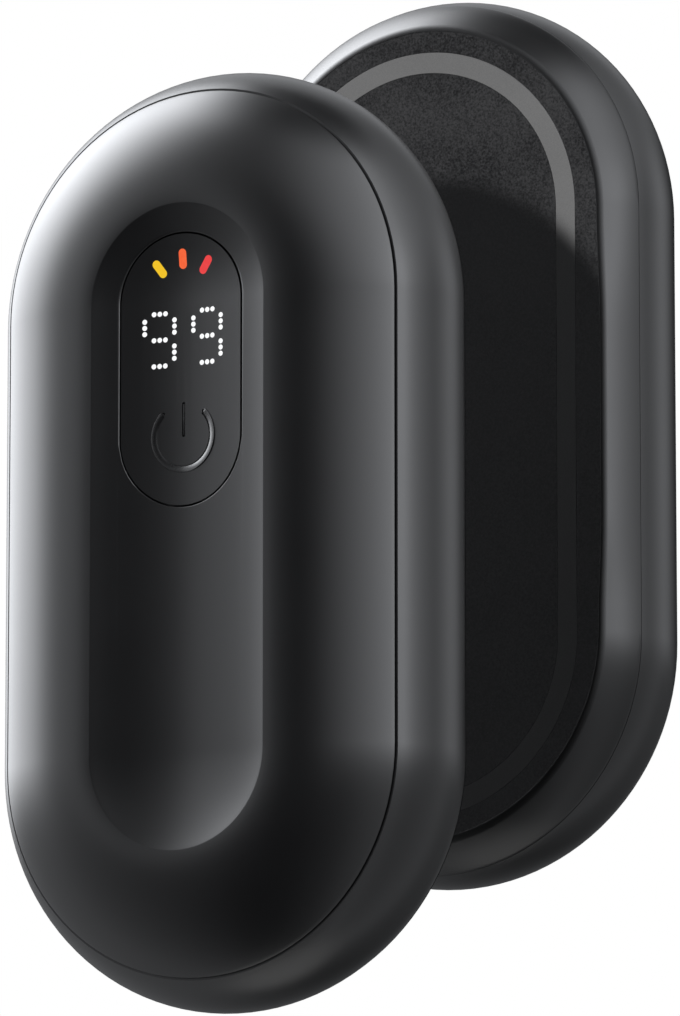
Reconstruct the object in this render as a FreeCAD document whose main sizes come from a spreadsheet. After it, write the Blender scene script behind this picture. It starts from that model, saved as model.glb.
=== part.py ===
import FreeCAD, Part
import math
import os

import Sketcher

# A pair of electric pocket hand warmers whose flat faces snap together with magnets.
# Each half is a flattened pebble. In a half's own frame X is its width, Z its length,
# with the display end up, and its depth runs along -Y, from the flat mating face at
# depth 0 to the domed shell. Every outline follows the same spine, a straight line
# along Z through the middle, so a section that is swept along one side, round an end
# and back makes each shell.

DIMENSIONS = (
    ("spine_half", 23.5, "half the straight length of the spine"),
    ("body_half_width", 26.0, "half width at the widest section"),
    ("widest_depth", 8.0, "depth of the widest section"),
    ("wall", 1.6, "shell wall"),
    ("dome_seam_inset", 3.0, "how far the seam of dome and band lies in from the widest point"),
    ("dome_seam_depth", 15.2, "depth of that seam"),
    ("dome_seam_gap", 0.25, "visible gap in that seam"),
    ("dome_seam_land", 2.2, "width of the edge of the dome shell"),
    ("cover_seam_inset", 1.0, "how far the seam of band and face cover lies in"),
    ("cover_seam_depth", 3.7, "depth of that seam"),
    ("cover_seam_gap", 0.12, "visible gap in that seam"),
    ("seam_step", 0.9, "how far a seam gap runs in before the shells meet"),
    ("band_edge", 2.55, "how far the band's edge reaches in under the dome shell"),
    ("band_foot", 1.83, "width of the band's edge at the face cover"),
    ("groove_half_width", 10.25, "half width of the finger groove"),
    ("groove_rim_depth", 20.1, "depth of the rim of the finger groove"),
    ("groove_sink", 1.5, "how deep the finger groove is dished"),
    ("crown_offset", 0.8, "how far the crown of the dome lies outside the groove's rim"),
    ("groove_rim_radius", 0.45, "rounding of the rim of the finger groove"),
    ("rim_width", 2.3, "width of the rolled rim, from the cover's seam to the land"),
    ("rim_radius", 18.0, "radius of the rolled side of the face cover"),
    ("rim_corner_radius", 0.9, "rounding outside the land"),
    ("tongue_inset", 2.1, "how far the tongue of the face cover lies in from the cover's seam"),
    ("tongue_wall", 0.9, "wall of the tongue"),
    ("tongue_height", 1.5, "how far the tongue reaches into the band"),
    ("ledge_width", 2.4, "width of the ledge under the panel's edge"),
    ("ledge_thickness", 1.2, "thickness of that ledge"),
    ("land_width", 0.64, "width of the flat land that meets the other half"),
    ("panel_thickness", 1.0, "thickness of the heating panel"),
    ("panel_recess", 0.25, "how far the panel lies below the land"),
    ("panel_clearance", 0.06, "clearance round the heating panel"),
    ("ring_inset", 3.0, "how far the inlaid ring lies in from the panel's edge"),
    ("ring_width", 2.3, "width of the inlaid ring"),
    ("ring_thickness", 0.4, "thickness of the inlaid ring"),
    ("ring_clearance", 0.03, "clearance round the inlaid ring"),
    ("film_inset", 1.0, "how far film, spreader and insulation lie in from the ledge"),
    ("film_thickness", 0.2, "thickness of the heating film"),
    ("spreader_thickness", 0.8, "thickness of the heat spreader"),
    ("insulation_thickness", 1.0, "thickness of the insulation"),
    ("magnet_radius", 4.0, "radius of a magnet"),
    ("magnet_clearance", 0.1, "clearance round a magnet"),
    ("magnet_offset", 8.0, "distance of the magnets from the centre line"),
    ("magnet_beyond", 3.5, "how far the magnets lie beyond the ends of the spine"),
    ("tray_gap", 0.4, "gap between the battery tray and the tongue"),
    ("tray_wall", 1.0, "wall and floor of the battery tray"),
    ("tray_height", 2.75, "height of the rim of the tray above its underside"),
    ("tray_clearance", 0.1, "clearance beside the ledge"),
    ("screw_offset", 9.5, "distance of the screws from the centre line"),
    ("screw_beyond", 12.5, "how far the screws lie beyond the ends of the spine"),
    ("post_radius", 2.0, "radius of the screw posts"),
    ("post_top_depth", 10.0, "depth at which the posts of tray and dome meet"),
    ("post_root", 0.6, "how far the dome's posts run into its wall"),
    ("screw_radius", 0.8, "radius of a screw's shank"),
    ("screw_length", 11.0, "length of a screw under its head"),
    ("screw_head_radius", 1.45, "radius of a screw's head"),
    ("screw_head_height", 0.8, "height of a screw's head"),
    ("screw_clearance", 0.05, "clearance round a screw"),
    ("screw_recess_radius", 0.5, "radius of the driver recess in a screw's head"),
    ("cell_side_room", 3.6, "room between the battery cell and the rim of the tray"),
    ("cell_clearance", 1.0, "clearance between the cell and the lower screw posts"),
    ("tab_room", 5.0, "room for the battery tabs between the cell and the upper screw posts"),
    ("cell_edge_radius", 2.0, "rounding of the cell's long edges"),
    ("tab_width", 3.0, "width of a battery tab"),
    ("tab_thickness", 0.25, "thickness of a battery tab"),
    ("tab_reach", 2.0, "how far a tab stands out of the cell"),
    ("tab_offset", 8.0, "distance of the tabs from the centre line"),
    ("pad_thickness", 0.75, "thickness of the foam tape on the cell"),
    ("pad_width", 20.0, "width of that tape"),
    ("pad_length", 24.0, "length of that tape"),
    ("board_clearance", 0.5, "clearance between the main board and the screw posts"),
    ("board_straight_half", 6.2, "half the straight length of the main board"),
    ("board_thickness", 1.0, "thickness of the circuit boards"),
    ("charge_board_width", 12.0, "width of the charging board"),
    ("charge_board_overlap", 1.2, "how far the charging board lies over the main board"),
    ("charge_board_inset", 3.0, "how far its upper end lies inside the end of the half"),
    ("pin_side", 0.5, "side of a pin between the boards"),
    ("pin_pitch", 1.27, "distance from pin to pin"),
    ("pin_inset", 0.45, "how far the pins stand in from the charging board's end"),
    ("usb_width", 8.94, "width of the charging socket"),
    ("usb_height", 3.16, "height of the charging socket"),
    ("usb_length", 7.3, "length of the charging socket"),
    ("usb_wall", 0.3, "wall of the charging socket"),
    ("usb_cavity", 6.2, "depth of the socket's mouth"),
    ("usb_tongue_width", 6.7, "width of the tongue in the socket"),
    ("usb_tongue_height", 0.7, "height of that tongue"),
    ("usb_tongue_length", 5.2, "length of that tongue"),
    ("usb_mouth_inset", 0.6, "how far the socket's mouth lies inside the end"),
    ("usb_clearance", 0.2, "clearance round the socket in the band"),
    ("display_margin", 2.57, "distance from the middle of the outer dots to the key's edge"),
    ("key_straight_half", 7.1, "half the straight length of the power key"),
    ("key_gap", 0.17, "gap round the power key"),
    ("key_wall", 1.3, "thickness of the power key's top at its middle"),
    ("key_flange", 0.7, "width and thickness of the key's flange"),
    ("key_flange_clearance", 0.1, "clearance of the flange under the dome"),
    ("key_travel", 0.3, "travel of the power key"),
    ("key_side_wall", 0.75, "thickness of the power key's side wall"),
    ("key_room", 2.2, "room between the power key and the main board"),
    ("digit_pitch", 5.66, "distance from digit to digit"),
    ("digit_half_width", 1.7, "half the width of a digit"),
    ("digit_half_rise", 2.75, "half the height of a digit"),
    ("digit_rise", 3.3, "height of the digits above the middle of the key"),
    ("dot_pitch", 0.65, "distance from dot to dot"),
    ("dot_radius", 0.27, "radius of a dot"),
    ("bar_length", 2.1, "length of a heat bar"),
    ("bar_width", 0.9, "width of a heat bar"),
    ("bar_spread", 2.74, "distance of the outer bars from the centre line"),
    ("bar_rise", 10.76, "height of the outer bars above the middle of the key"),
    ("bar_lift", 0.86, "how much higher the middle bar stands"),
    ("mark_radius", 3.44, "radius of the ring of the power mark"),
    ("mark_stroke", 0.36, "stroke of the power mark"),
    ("mark_drop", 7.0, "depth of the mark's centre below the middle of the key"),
    ("mark_bar_top", 3.4, "height of the mark's bar above its centre"),
    ("mark_bar_length", 3.3, "length of the mark's bar"),
    ("mark_depth", 0.35, "depth of the engraved mark"),
    ("mark_sink", 0.12, "how far the inlay lies below the key's surface"),
    ("guide_clearance", 0.15, "clearance round the light guide"),
    ("guide_wall", 0.8, "wall of the light guide"),
    ("guide_thickness", 0.9, "thickness of the light guide's plate"),
    ("guide_foot", 0.8, "height of the light guide's foot"),
    ("switch_side", 3.6, "side of the switch"),
    ("switch_height", 1.3, "height of the switch"),
    ("switch_clearance", 0.25, "clearance between switch and light guide"),
    ("plunger_radius", 0.9, "radius of the switch's plunger"),
    ("plunger_clearance", 0.06, "radial clearance of the plunger"),
    ("plunger_seat", 0.7, "how far the plunger sits in the switch"),
    ("led_width", 1.0, "width of a light"),
    ("led_length", 0.5, "length of a light"),
    ("led_height", 0.5, "height of a light"),
    ("chip_height", 1.2, "height of the chips"),
    ("chip_side", 4.0, "side of the charging chip"),
    ("chip_spread", 9.3, "distance of the chips from the centre line"),
    ("chip_rise", 20.0, "distance of the upper chip from the middle of the half"),
    ("chip_drop", 9.0, "distance between the chips"),
    ("sensor_radius", 0.5, "radius of the temperature sensor"),
    ("sensor_length", 3.0, "length of the temperature sensor"),
    ("apart_gap", 33.6, "distance between the mating faces as shown"),
    ("apart_rise", 17.6, "how much higher the rear half stands as shown"),
    ("overrun", 1.0, "how far a cut runs past what it cuts"),
)

# Shares chosen by hand, and angles in degrees.
BAR_TILT = 35.5
MARK_GAP = 88.0
QUARTER_TURN = 90.0
HALF_TURN = 180.0
TAB_LEVEL_SHARE = 0.5
PIN_SHARES = (-2, -1, 0, 1, 2)
DOT_SHARES = (-1, 0, 1)
EDGE_SAMPLES = 7
NEAR = 0.001

os.makedirs("parts", exist_ok=True)
doc = FreeCAD.newDocument("hand_warmer")
sheet = doc.addObject("Spreadsheet::Sheet", "Sizes")
for row, (alias, value, note) in enumerate(DIMENSIONS, start=1):
    sheet.set("A%d" % row, alias)
    sheet.set("B%d" % row, str(value))
    sheet.set("C%d" % row, note)
    sheet.setAlias("B%d" % row, alias)
doc.recompute()


class Size:
    """A size in mm together with the expression of sheet cells that gives it."""

    def __init__(self, value, text):
        self.value = value
        self.text = text

    def __add__(self, other):
        return Size(self.value + other.value, "(%s + %s)" % (self.text, other.text))

    def __sub__(self, other):
        return Size(self.value - other.value, "(%s - %s)" % (self.text, other.text))

    def __neg__(self):
        return Size(-self.value, "(0 - %s)" % self.text)

    def __mul__(self, other):
        if isinstance(other, Size):
            return Size(self.value * other.value, "(%s * %s)" % (self.text, other.text))
        return Size(self.value * other, "(%s * %r)" % (self.text, other))

    def __truediv__(self, other):
        if isinstance(other, Size):
            return Size(self.value / other.value, "(%s / %s)" % (self.text, other.text))
        return Size(self.value / other, "(%s / %r)" % (self.text, other))

    def root(self):
        return Size(math.sqrt(self.value), "sqrt(%s)" % self.text)


class Sizes:
    """Every cell of the sheet as a Size, by its alias."""


cell = Sizes()
for alias, value, note in DIMENSIONS:
    setattr(cell, alias, Size(value, "Sizes.%s" % alias))
ZERO = Size(0.0, "0")

# Distances from the spine, from the widest point inwards.
dome_seam = cell.body_half_width - cell.dome_seam_inset
cover_seam = cell.body_half_width - cell.cover_seam_inset
land_outside = cover_seam - cell.rim_width
panel_seat_side = land_outside - cell.land_width
panel_side = panel_seat_side - cell.panel_clearance
tongue_outside = cover_seam - cell.tongue_inset
tongue_inside = tongue_outside - cell.tongue_wall
tray_side = tongue_inside - cell.tray_gap
cell_side = tray_side - cell.tray_wall - cell.cell_side_room
ledge_inside = panel_side - cell.ledge_width
film_side = ledge_inside - cell.film_inset
ring_outside = panel_side - cell.ring_inset
ring_inside = ring_outside - cell.ring_width
key_side = cell.digit_pitch / 2 + cell.digit_half_width + cell.display_margin
guide_side = key_side - cell.key_side_wall - cell.guide_clearance

# Depths and heights that several pieces share.
groove_floor = cell.groove_rim_depth - cell.groove_sink
groove_radius = (cell.groove_half_width * cell.groove_half_width / cell.groove_sink + cell.groove_sink) / 2
dome_centre_side = cell.groove_half_width + cell.crown_offset
dome_across = dome_seam - dome_centre_side
dome_rise = cell.groove_rim_depth - cell.dome_seam_depth
dome_spread = dome_across * dome_across - cell.crown_offset * cell.crown_offset
dome_centre_depth = (cell.groove_rim_depth + cell.dome_seam_depth - dome_spread / dome_rise) / 2
crown_under = cell.groove_rim_depth - cell.wall
dome_land_side = dome_seam - cell.dome_seam_land
under_across = dome_land_side - dome_centre_side
under_rise = crown_under - cell.dome_seam_depth
under_spread = under_across * under_across
under_centre_depth = (crown_under + cell.dome_seam_depth - under_spread / under_rise) / 2
key_ceiling = groove_floor - cell.key_wall
flange_top = groove_floor - cell.wall - cell.key_flange_clearance
flange_under = flange_top - cell.key_flange
panel_seat = cell.panel_recess + cell.panel_thickness
film_top = panel_seat + cell.film_thickness
spreader_top = film_top + cell.spreader_thickness
insulation_top = spreader_top + cell.insulation_thickness
ledge_top = panel_seat + cell.ledge_thickness
tray_floor = insulation_top + cell.tray_wall
board_top = flange_under - cell.key_room
board_under = board_top - cell.board_thickness
cell_top = board_under - cell.pad_thickness
magnet_reach = cell.spine_half + cell.magnet_beyond
screw_reach = cell.spine_half + cell.screw_beyond
screw_from_end = (cell.screw_offset * cell.screw_offset + cell.screw_beyond * cell.screw_beyond).root()
cell_low_end = cell.post_radius + cell.cell_clearance - screw_reach
cell_high_end = screw_reach - cell.post_radius - cell.tab_room
board_side = screw_from_end - cell.post_radius - cell.board_clearance
board_centre = cell.spine_half - cell.board_straight_half
board_end = cell.spine_half + board_side
usb_under = cell.widest_depth - cell.usb_height / 2
usb_top = cell.widest_depth + cell.usb_height / 2
usb_mouth = cell.spine_half + cell.body_half_width - cell.usb_mouth_inset
charge_board_top = usb_top + cell.board_thickness
charge_board_start = board_end - cell.charge_board_overlap
key_centre = cell.spine_half - cell.key_straight_half
digit_centre = key_centre + cell.digit_rise
mark_centre = key_centre - cell.mark_drop
switch_top = board_top + cell.switch_height
screw_head_top = insulation_top + cell.screw_head_height


def vector(x, y):
    return FreeCAD.Vector(x, y, 0)


def plane_of(body, role):
    return next(item for item in body.Origin.OriginFeatures if item.Role == role)


def sketch_on(body, name, role, offset):
    """Adds a sketch on one of the body's origin planes, moved along its normal."""
    sketch = body.newObject("Sketcher::SketchObject", name)
    sketch.AttachmentSupport = [(plane_of(body, role), "")]
    sketch.MapMode = "FlatFace"
    sketch.setExpression("AttachmentOffset.Base.z", offset.text)
    return sketch


def dimension(sketch, kind, geometry, point, size):
    """Places a point of the sketch by a distance from its origin, bound to the sheet."""
    number = sketch.addConstraint(Sketcher.Constraint(kind, -1, 1, geometry, point, size.value))
    sketch.setExpression("Constraints[%d]" % number, size.text)


def radius_of(sketch, geometry, size):
    number = sketch.addConstraint(Sketcher.Constraint("Radius", geometry, size.value))
    sketch.setExpression("Constraints[%d]" % number, size.text)


def racetrack(sketch, half_width, straight_half, centre):
    """Draws two half circles joined by straight sides, standing upright on the axis."""
    r = half_width.value
    high = (centre + straight_half).value
    low = (centre - straight_half).value
    normal = FreeCAD.Vector(0, 0, 1)
    right = sketch.addGeometry(Part.LineSegment(vector(r, low), vector(r, high)))
    top = sketch.addGeometry(Part.ArcOfCircle(Part.Circle(vector(0, high), normal, r), 0, math.pi))
    left = sketch.addGeometry(Part.LineSegment(vector(-r, high), vector(-r, low)))
    low_circle = Part.Circle(vector(0, low), normal, r)
    bottom = sketch.addGeometry(Part.ArcOfCircle(low_circle, math.pi, 2 * math.pi))
    for first, second in ((right, top), (top, left), (left, bottom), (bottom, right)):
        sketch.addConstraint(Sketcher.Constraint("Tangent", first, 2, second, 1))
    sketch.addConstraint(Sketcher.Constraint("PointOnObject", top, 3, -2))
    sketch.addConstraint(Sketcher.Constraint("PointOnObject", bottom, 3, -2))
    sketch.addConstraint(Sketcher.Constraint("Equal", top, bottom))
    radius_of(sketch, top, half_width)
    dimension(sketch, "DistanceY", top, 3, centre + straight_half)
    dimension(sketch, "DistanceY", bottom, 3, centre - straight_half)


def rectangle(sketch, half_width, low, high):
    """Draws a rectangle across the sketch's vertical axis."""
    w = half_width.value
    corners = (vector(-w, low.value), vector(w, low.value), vector(w, high.value), vector(-w, high.value))
    sides = [
        sketch.addGeometry(Part.LineSegment(corners[side], corners[(side + 1) % len(corners)]))
        for side in range(len(corners))
    ]
    for side, following in zip(sides, sides[1:] + sides[:1]):
        sketch.addConstraint(Sketcher.Constraint("Coincident", side, 2, following, 1))
    for side, kind in zip(sides, ("Horizontal", "Vertical", "Horizontal", "Vertical")):
        sketch.addConstraint(Sketcher.Constraint(kind, side))
    dimension(sketch, "DistanceX", sides[0], 1, -half_width)
    dimension(sketch, "DistanceX", sides[0], 2, half_width)
    dimension(sketch, "DistanceY", sides[0], 2, low)
    dimension(sketch, "DistanceY", sides[2], 1, high)


def circles(sketch, radius, places):
    """Draws equal circles at the given pairs of sizes."""
    normal = FreeCAD.Vector(0, 0, 1)
    for x, z in places:
        ring = sketch.addGeometry(Part.Circle(vector(x.value, z.value), normal, radius.value))
        radius_of(sketch, ring, radius)
        dimension(sketch, "DistanceX", ring, 3, x)
        dimension(sketch, "DistanceY", ring, 3, z)


def corner_places(offset, reach):
    """The four places at the same distance from the centre line and from the middle."""
    return ((offset, reach), (-offset, reach), (offset, -reach), (-offset, -reach))


def polygon(sketch, points):
    """Draws a closed outline of straight lines, each point a pair of sizes."""
    lines = []
    for point, following in zip(points, points[1:] + points[:1]):
        start = vector(point[0].value, point[1].value)
        end = vector(following[0].value, following[1].value)
        lines.append(sketch.addGeometry(Part.LineSegment(start, end)))
    for number, line in enumerate(lines):
        sketch.addConstraint(Sketcher.Constraint("Coincident", line, 2, lines[(number + 1) % len(lines)], 1))
        place(sketch, line, 1, points[number])
    return lines


def place(sketch, geometry, point, sizes):
    """Fixes a point by both of its sizes. One that is zero lies on the axis."""
    for kind, axis, size in (("DistanceX", -2, sizes[0]), ("DistanceY", -1, sizes[1])):
        if size is ZERO:
            sketch.addConstraint(Sketcher.Constraint("PointOnObject", geometry, point, axis))
        else:
            dimension(sketch, kind, geometry, point, size)


def arc_between(sketch, start, end, centre):
    """Draws the shorter arc round a centre, its ends in the order that the arc runs."""
    radius = start.sub(centre).Length
    first = math.atan2(start.y - centre.y, start.x - centre.x)
    last = math.atan2(end.y - centre.y, end.x - centre.x)
    circle = Part.Circle(centre, FreeCAD.Vector(0, 0, 1), radius)
    return sketch.addGeometry(Part.ArcOfCircle(circle, first, last))


def level_centre(widest, point):
    """The centre, level with the widest point, of the arc from there to another point."""
    run = widest.x - point.x
    rise = point.y - widest.y
    return vector(widest.x - (run * run + rise * rise) / (2 * run), widest.y)


def dome_section(sketch):
    """Draws half the section of the dome shell, with its finger groove."""
    seam = vector(dome_seam.value, -cell.dome_seam_depth.value)
    rim = vector(cell.groove_half_width.value, -cell.groove_rim_depth.value)
    floor = vector(0, -groove_floor.value)
    dome_centre = vector(dome_centre_side.value, -dome_centre_depth.value)
    groove_centre = floor.sub(vector(0, groove_radius.value))
    land = vector(dome_land_side.value, seam.y)
    under = vector(dome_centre_side.value, -crown_under.value)
    ceiling = vector(0, floor.y + cell.wall.value)
    reach = under.x * under.x
    sag = ceiling.y - under.y
    inner_groove_centre = vector(0, under.y + (sag - reach / sag) / 2)
    dome = arc_between(sketch, rim, seam, dome_centre)
    groove = arc_between(sketch, rim, floor, groove_centre)
    middle = sketch.addGeometry(Part.LineSegment(floor, ceiling))
    inner_groove = arc_between(sketch, under, ceiling, inner_groove_centre)
    inner_dome = arc_between(sketch, under, land, vector(under.x, -under_centre_depth.value))
    edge = sketch.addGeometry(Part.LineSegment(land, seam))
    dimension(sketch, "DistanceX", dome, 3, dome_centre_side)
    place(sketch, dome, 1, (cell.groove_half_width, -cell.groove_rim_depth))
    place(sketch, dome, 2, (dome_seam, -cell.dome_seam_depth))
    sketch.addConstraint(Sketcher.Constraint("Coincident", groove, 1, dome, 1))
    sketch.addConstraint(Sketcher.Constraint("Coincident", groove, 2, middle, 1))
    sketch.addConstraint(Sketcher.Constraint("PointOnObject", groove, 3, -2))
    place(sketch, middle, 1, (ZERO, -groove_floor))
    place(sketch, middle, 2, (ZERO, cell.wall - groove_floor))
    sketch.addConstraint(Sketcher.Constraint("Coincident", inner_groove, 2, middle, 2))
    sketch.addConstraint(Sketcher.Constraint("PointOnObject", inner_groove, 3, -2))
    sketch.addConstraint(Sketcher.Constraint("Coincident", inner_dome, 1, inner_groove, 1))
    sketch.addConstraint(Sketcher.Constraint("Vertical", inner_dome, 3, inner_dome, 1))
    place(sketch, inner_dome, 1, (dome_centre_side, -crown_under))
    sketch.addConstraint(Sketcher.Constraint("Coincident", inner_dome, 2, edge, 1))
    sketch.addConstraint(Sketcher.Constraint("Coincident", edge, 2, dome, 2))
    place(sketch, edge, 1, (dome_land_side, -cell.dome_seam_depth))


def groove_section(sketch):
    """Draws half the section of the air above the finger groove, to dish the key."""
    rim = vector(cell.groove_half_width.value, -cell.groove_rim_depth.value)
    floor = vector(0, -groove_floor.value)
    groove_centre = floor.sub(vector(0, groove_radius.value))
    top = -(cell.groove_rim_depth + cell.overrun)
    high = vector(0, top.value)
    corner = vector(rim.x, top.value)
    groove = arc_between(sketch, rim, floor, groove_centre)
    middle = sketch.addGeometry(Part.LineSegment(floor, high))
    level = sketch.addGeometry(Part.LineSegment(high, corner))
    side = sketch.addGeometry(Part.LineSegment(corner, rim))
    sketch.addConstraint(Sketcher.Constraint("PointOnObject", groove, 3, -2))
    place(sketch, groove, 1, (cell.groove_half_width, -cell.groove_rim_depth))
    sketch.addConstraint(Sketcher.Constraint("Coincident", groove, 2, middle, 1))
    sketch.addConstraint(Sketcher.Constraint("Coincident", middle, 2, level, 1))
    sketch.addConstraint(Sketcher.Constraint("Coincident", level, 2, side, 1))
    sketch.addConstraint(Sketcher.Constraint("Coincident", side, 2, groove, 1))
    place(sketch, middle, 1, (ZERO, -groove_floor))
    place(sketch, middle, 2, (ZERO, top))
    place(sketch, side, 1, (cell.groove_half_width, top))


def band_section(sketch):
    """Draws half the section of the side band, stepped where it meets the dome shell."""
    widest = vector(cell.body_half_width.value, -cell.widest_depth.value)
    inside = vector(widest.x - cell.wall.value, widest.y)
    seam = -cell.dome_seam_depth
    low = -cell.cover_seam_depth
    gap_width = dome_seam + cell.dome_seam_gap
    gap_level = cell.dome_seam_gap - cell.dome_seam_depth
    step = dome_seam - cell.seam_step
    edge = vector(gap_width.value, gap_level.value)
    foot = vector(cover_seam.value, low.value)
    inner_edge = vector((dome_seam - cell.band_edge).value, seam.value)
    inner_foot = vector((cover_seam - cell.band_foot).value, low.value)
    upper = arc_between(sketch, edge, widest, level_centre(widest, edge))
    lower = arc_between(sketch, widest, foot, level_centre(widest, foot))
    base = sketch.addGeometry(Part.LineSegment(foot, inner_foot))
    inner_lower = arc_between(sketch, inside, inner_foot, level_centre(inside, inner_foot))
    inner_upper = arc_between(sketch, inner_edge, inside, level_centre(inside, inner_edge))
    land = sketch.addGeometry(Part.LineSegment(inner_edge, vector(step.value, seam.value)))
    riser = sketch.addGeometry(Part.LineSegment(vector(step.value, seam.value), vector(step.value, edge.y)))
    gap = sketch.addGeometry(Part.LineSegment(vector(step.value, edge.y), edge))
    for first, first_end, second, second_end in (
        (upper, 2, lower, 1), (lower, 2, base, 1), (base, 2, inner_lower, 2),
        (inner_lower, 1, inner_upper, 2), (inner_upper, 1, land, 1), (land, 2, riser, 1),
        (riser, 2, gap, 1), (gap, 2, upper, 1),
    ):
        sketch.addConstraint(Sketcher.Constraint("Coincident", first, first_end, second, second_end))
    for arc, level_end in ((upper, 2), (lower, 1), (inner_upper, 2), (inner_lower, 1)):
        sketch.addConstraint(Sketcher.Constraint("Horizontal", arc, 3, arc, level_end))
    place(sketch, upper, 2, (cell.body_half_width, -cell.widest_depth))
    place(sketch, upper, 1, (gap_width, gap_level))
    place(sketch, lower, 2, (cover_seam, low))
    place(sketch, inner_lower, 1, (cell.body_half_width - cell.wall, -cell.widest_depth))
    place(sketch, base, 2, (cover_seam - cell.band_foot, low))
    place(sketch, land, 1, (dome_seam - cell.band_edge, seam))
    place(sketch, land, 2, (step, seam))
    place(sketch, gap, 1, (step, gap_level))


def cover_section(sketch):
    """Draws half the section of the face cover: rolled rim, panel seat, ledge and tongue."""
    gap_level = cell.cover_seam_gap - cell.cover_seam_depth
    step = cover_seam - cell.seam_step
    tongue_top = -(cell.cover_seam_depth + cell.tongue_height)
    points = (
        (land_outside, ZERO),
        (panel_seat_side, ZERO),
        (panel_seat_side, -panel_seat),
        (ledge_inside, -panel_seat),
        (ledge_inside, -ledge_top),
        (tongue_inside, -ledge_top),
        (tongue_inside, tongue_top),
        (tongue_outside, tongue_top),
        (tongue_outside, -cell.cover_seam_depth),
        (step, -cell.cover_seam_depth),
        (step, gap_level),
        (cover_seam, gap_level),
    )
    lines = []
    for point, following in zip(points, points[1:]):
        start = vector(point[0].value, point[1].value)
        end = vector(following[0].value, following[1].value)
        lines.append(sketch.addGeometry(Part.LineSegment(start, end)))
    for number, line in enumerate(lines):
        place(sketch, line, 1, points[number])
        if number:
            sketch.addConstraint(Sketcher.Constraint("Coincident", lines[number - 1], 2, line, 1))
    place(sketch, lines[-1], 2, points[-1])
    start = vector(points[-1][0].value, points[-1][1].value)
    end = vector(points[0][0].value, points[0][1].value)
    middle = (start + end) * 0.5
    chord = start.sub(end)
    inward = vector(chord.y, -chord.x).normalize()
    if inward.x > 0:
        inward = -inward
    bulge = math.sqrt(cell.rim_radius.value ** 2 - (chord.Length / 2) ** 2)
    rolled = arc_between(sketch, start, end, middle + inward * bulge)
    ends = (1, 2)
    if sketch.getPoint(rolled, 1).distanceToPoint(start) > NEAR:
        ends = (2, 1)
    sketch.addConstraint(Sketcher.Constraint("Coincident", rolled, ends[0], lines[-1], 2))
    sketch.addConstraint(Sketcher.Constraint("Coincident", rolled, ends[1], lines[0], 1))
    radius_of(sketch, rolled, cell.rim_radius)


def tray_section(sketch):
    """Draws half the section of the battery tray: floor, low rim and foot on the ledge."""
    foot = ledge_inside + cell.tray_clearance
    rim_inside = tray_side - cell.tray_wall
    rim_top = -(insulation_top + cell.tray_height)
    polygon(sketch, (
        (ZERO, -insulation_top),
        (foot, -insulation_top),
        (foot, -ledge_top),
        (tray_side, -ledge_top),
        (tray_side, rim_top),
        (rim_inside, rim_top),
        (rim_inside, -tray_floor),
        (ZERO, -tray_floor),
    ))


def swept(body, name, section):
    """Sweeps half a section along one side and round one end, and mirrors both."""
    side_sketch = sketch_on(body, name + "_side_section", "XY_Plane", ZERO)
    section(side_sketch)
    side = body.newObject("PartDesign::Pad", name + "_side")
    side.Profile = side_sketch
    side.setExpression("Length", (cell.spine_half * 2).text)
    side.Midplane = True
    other_side = body.newObject("PartDesign::Mirrored", name + "_other_side")
    other_side.Originals = [side]
    other_side.MirrorPlane = (plane_of(body, "YZ_Plane"), [""])
    body.Tip = other_side
    end_sketch = sketch_on(body, name + "_end_section", "XY_Plane", cell.spine_half)
    section(end_sketch)
    end = body.newObject("PartDesign::Revolution", name + "_end")
    end.Profile = end_sketch
    end.ReferenceAxis = (end_sketch, ["V_Axis"])
    end.Angle = HALF_TURN
    end.Reversed = True
    other_end = body.newObject("PartDesign::Mirrored", name + "_other_end")
    other_end.Originals = [end]
    other_end.MirrorPlane = (plane_of(body, "XY_Plane"), [""])
    body.Tip = other_end
    doc.recompute()
    return other_end


def new_body(name):
    return doc.addObject("PartDesign::Body", name)


def pad(body, name, sketch, length):
    feature = body.newObject("PartDesign::Pad", name)
    feature.Profile = sketch
    feature.setExpression("Length", length.text)
    return feature


def pocket(body, name, sketch, length):
    """Cuts from the sketch against its normal, which is towards less depth."""
    feature = body.newObject("PartDesign::Pocket", name)
    feature.Profile = sketch
    feature.setExpression("Length", length.text)
    return feature


def rounded(body, name, base, edges, radius):
    feature = body.newObject("PartDesign::Fillet", name)
    feature.Base = (base, edges)
    feature.setExpression("Radius", radius.text)
    return feature


def track_edges(feature, half_width, depth, straight_half, centre):
    """Names the edges that run all the way at one distance from a spine and one depth."""
    names = []
    for number, edge in enumerate(feature.Shape.Edges, start=1):
        if edge.Degenerated:
            continue
        points = edge.discretize(EDGE_SAMPLES)
        offsets = [math.hypot(p.x, max(abs(p.z - centre.value) - straight_half.value, 0)) for p in points]
        if max(abs(offset - half_width.value) for offset in offsets) > NEAR:
            continue
        if max(abs(-p.y - depth.value) for p in points) < NEAR:
            names.append("Edge%d" % number)
    return names


def track_plate(name, half_width, straight_half, centre, low, high):
    """Makes a flat plate in the racetrack outline between two depths."""
    body = new_body(name)
    sketch = sketch_on(body, name + "_outline", "XZ_Plane", low)
    racetrack(sketch, half_width, straight_half, centre)
    pad(body, name + "_plate", sketch, high - low)
    return body


def block(name, width, low, high, bottom, top, x=ZERO):
    """Makes a box between two depths and two heights, centred at x."""
    box = doc.addObject("Part::Box", name)
    box.setExpression("Length", width.text)
    box.setExpression("Width", (high - low).text)
    box.setExpression("Height", (top - bottom).text)
    box.setExpression("Placement.Base.x", (x - width / 2).text)
    box.setExpression("Placement.Base.y", (-high).text)
    box.setExpression("Placement.Base.z", bottom.text)
    return box


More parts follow.
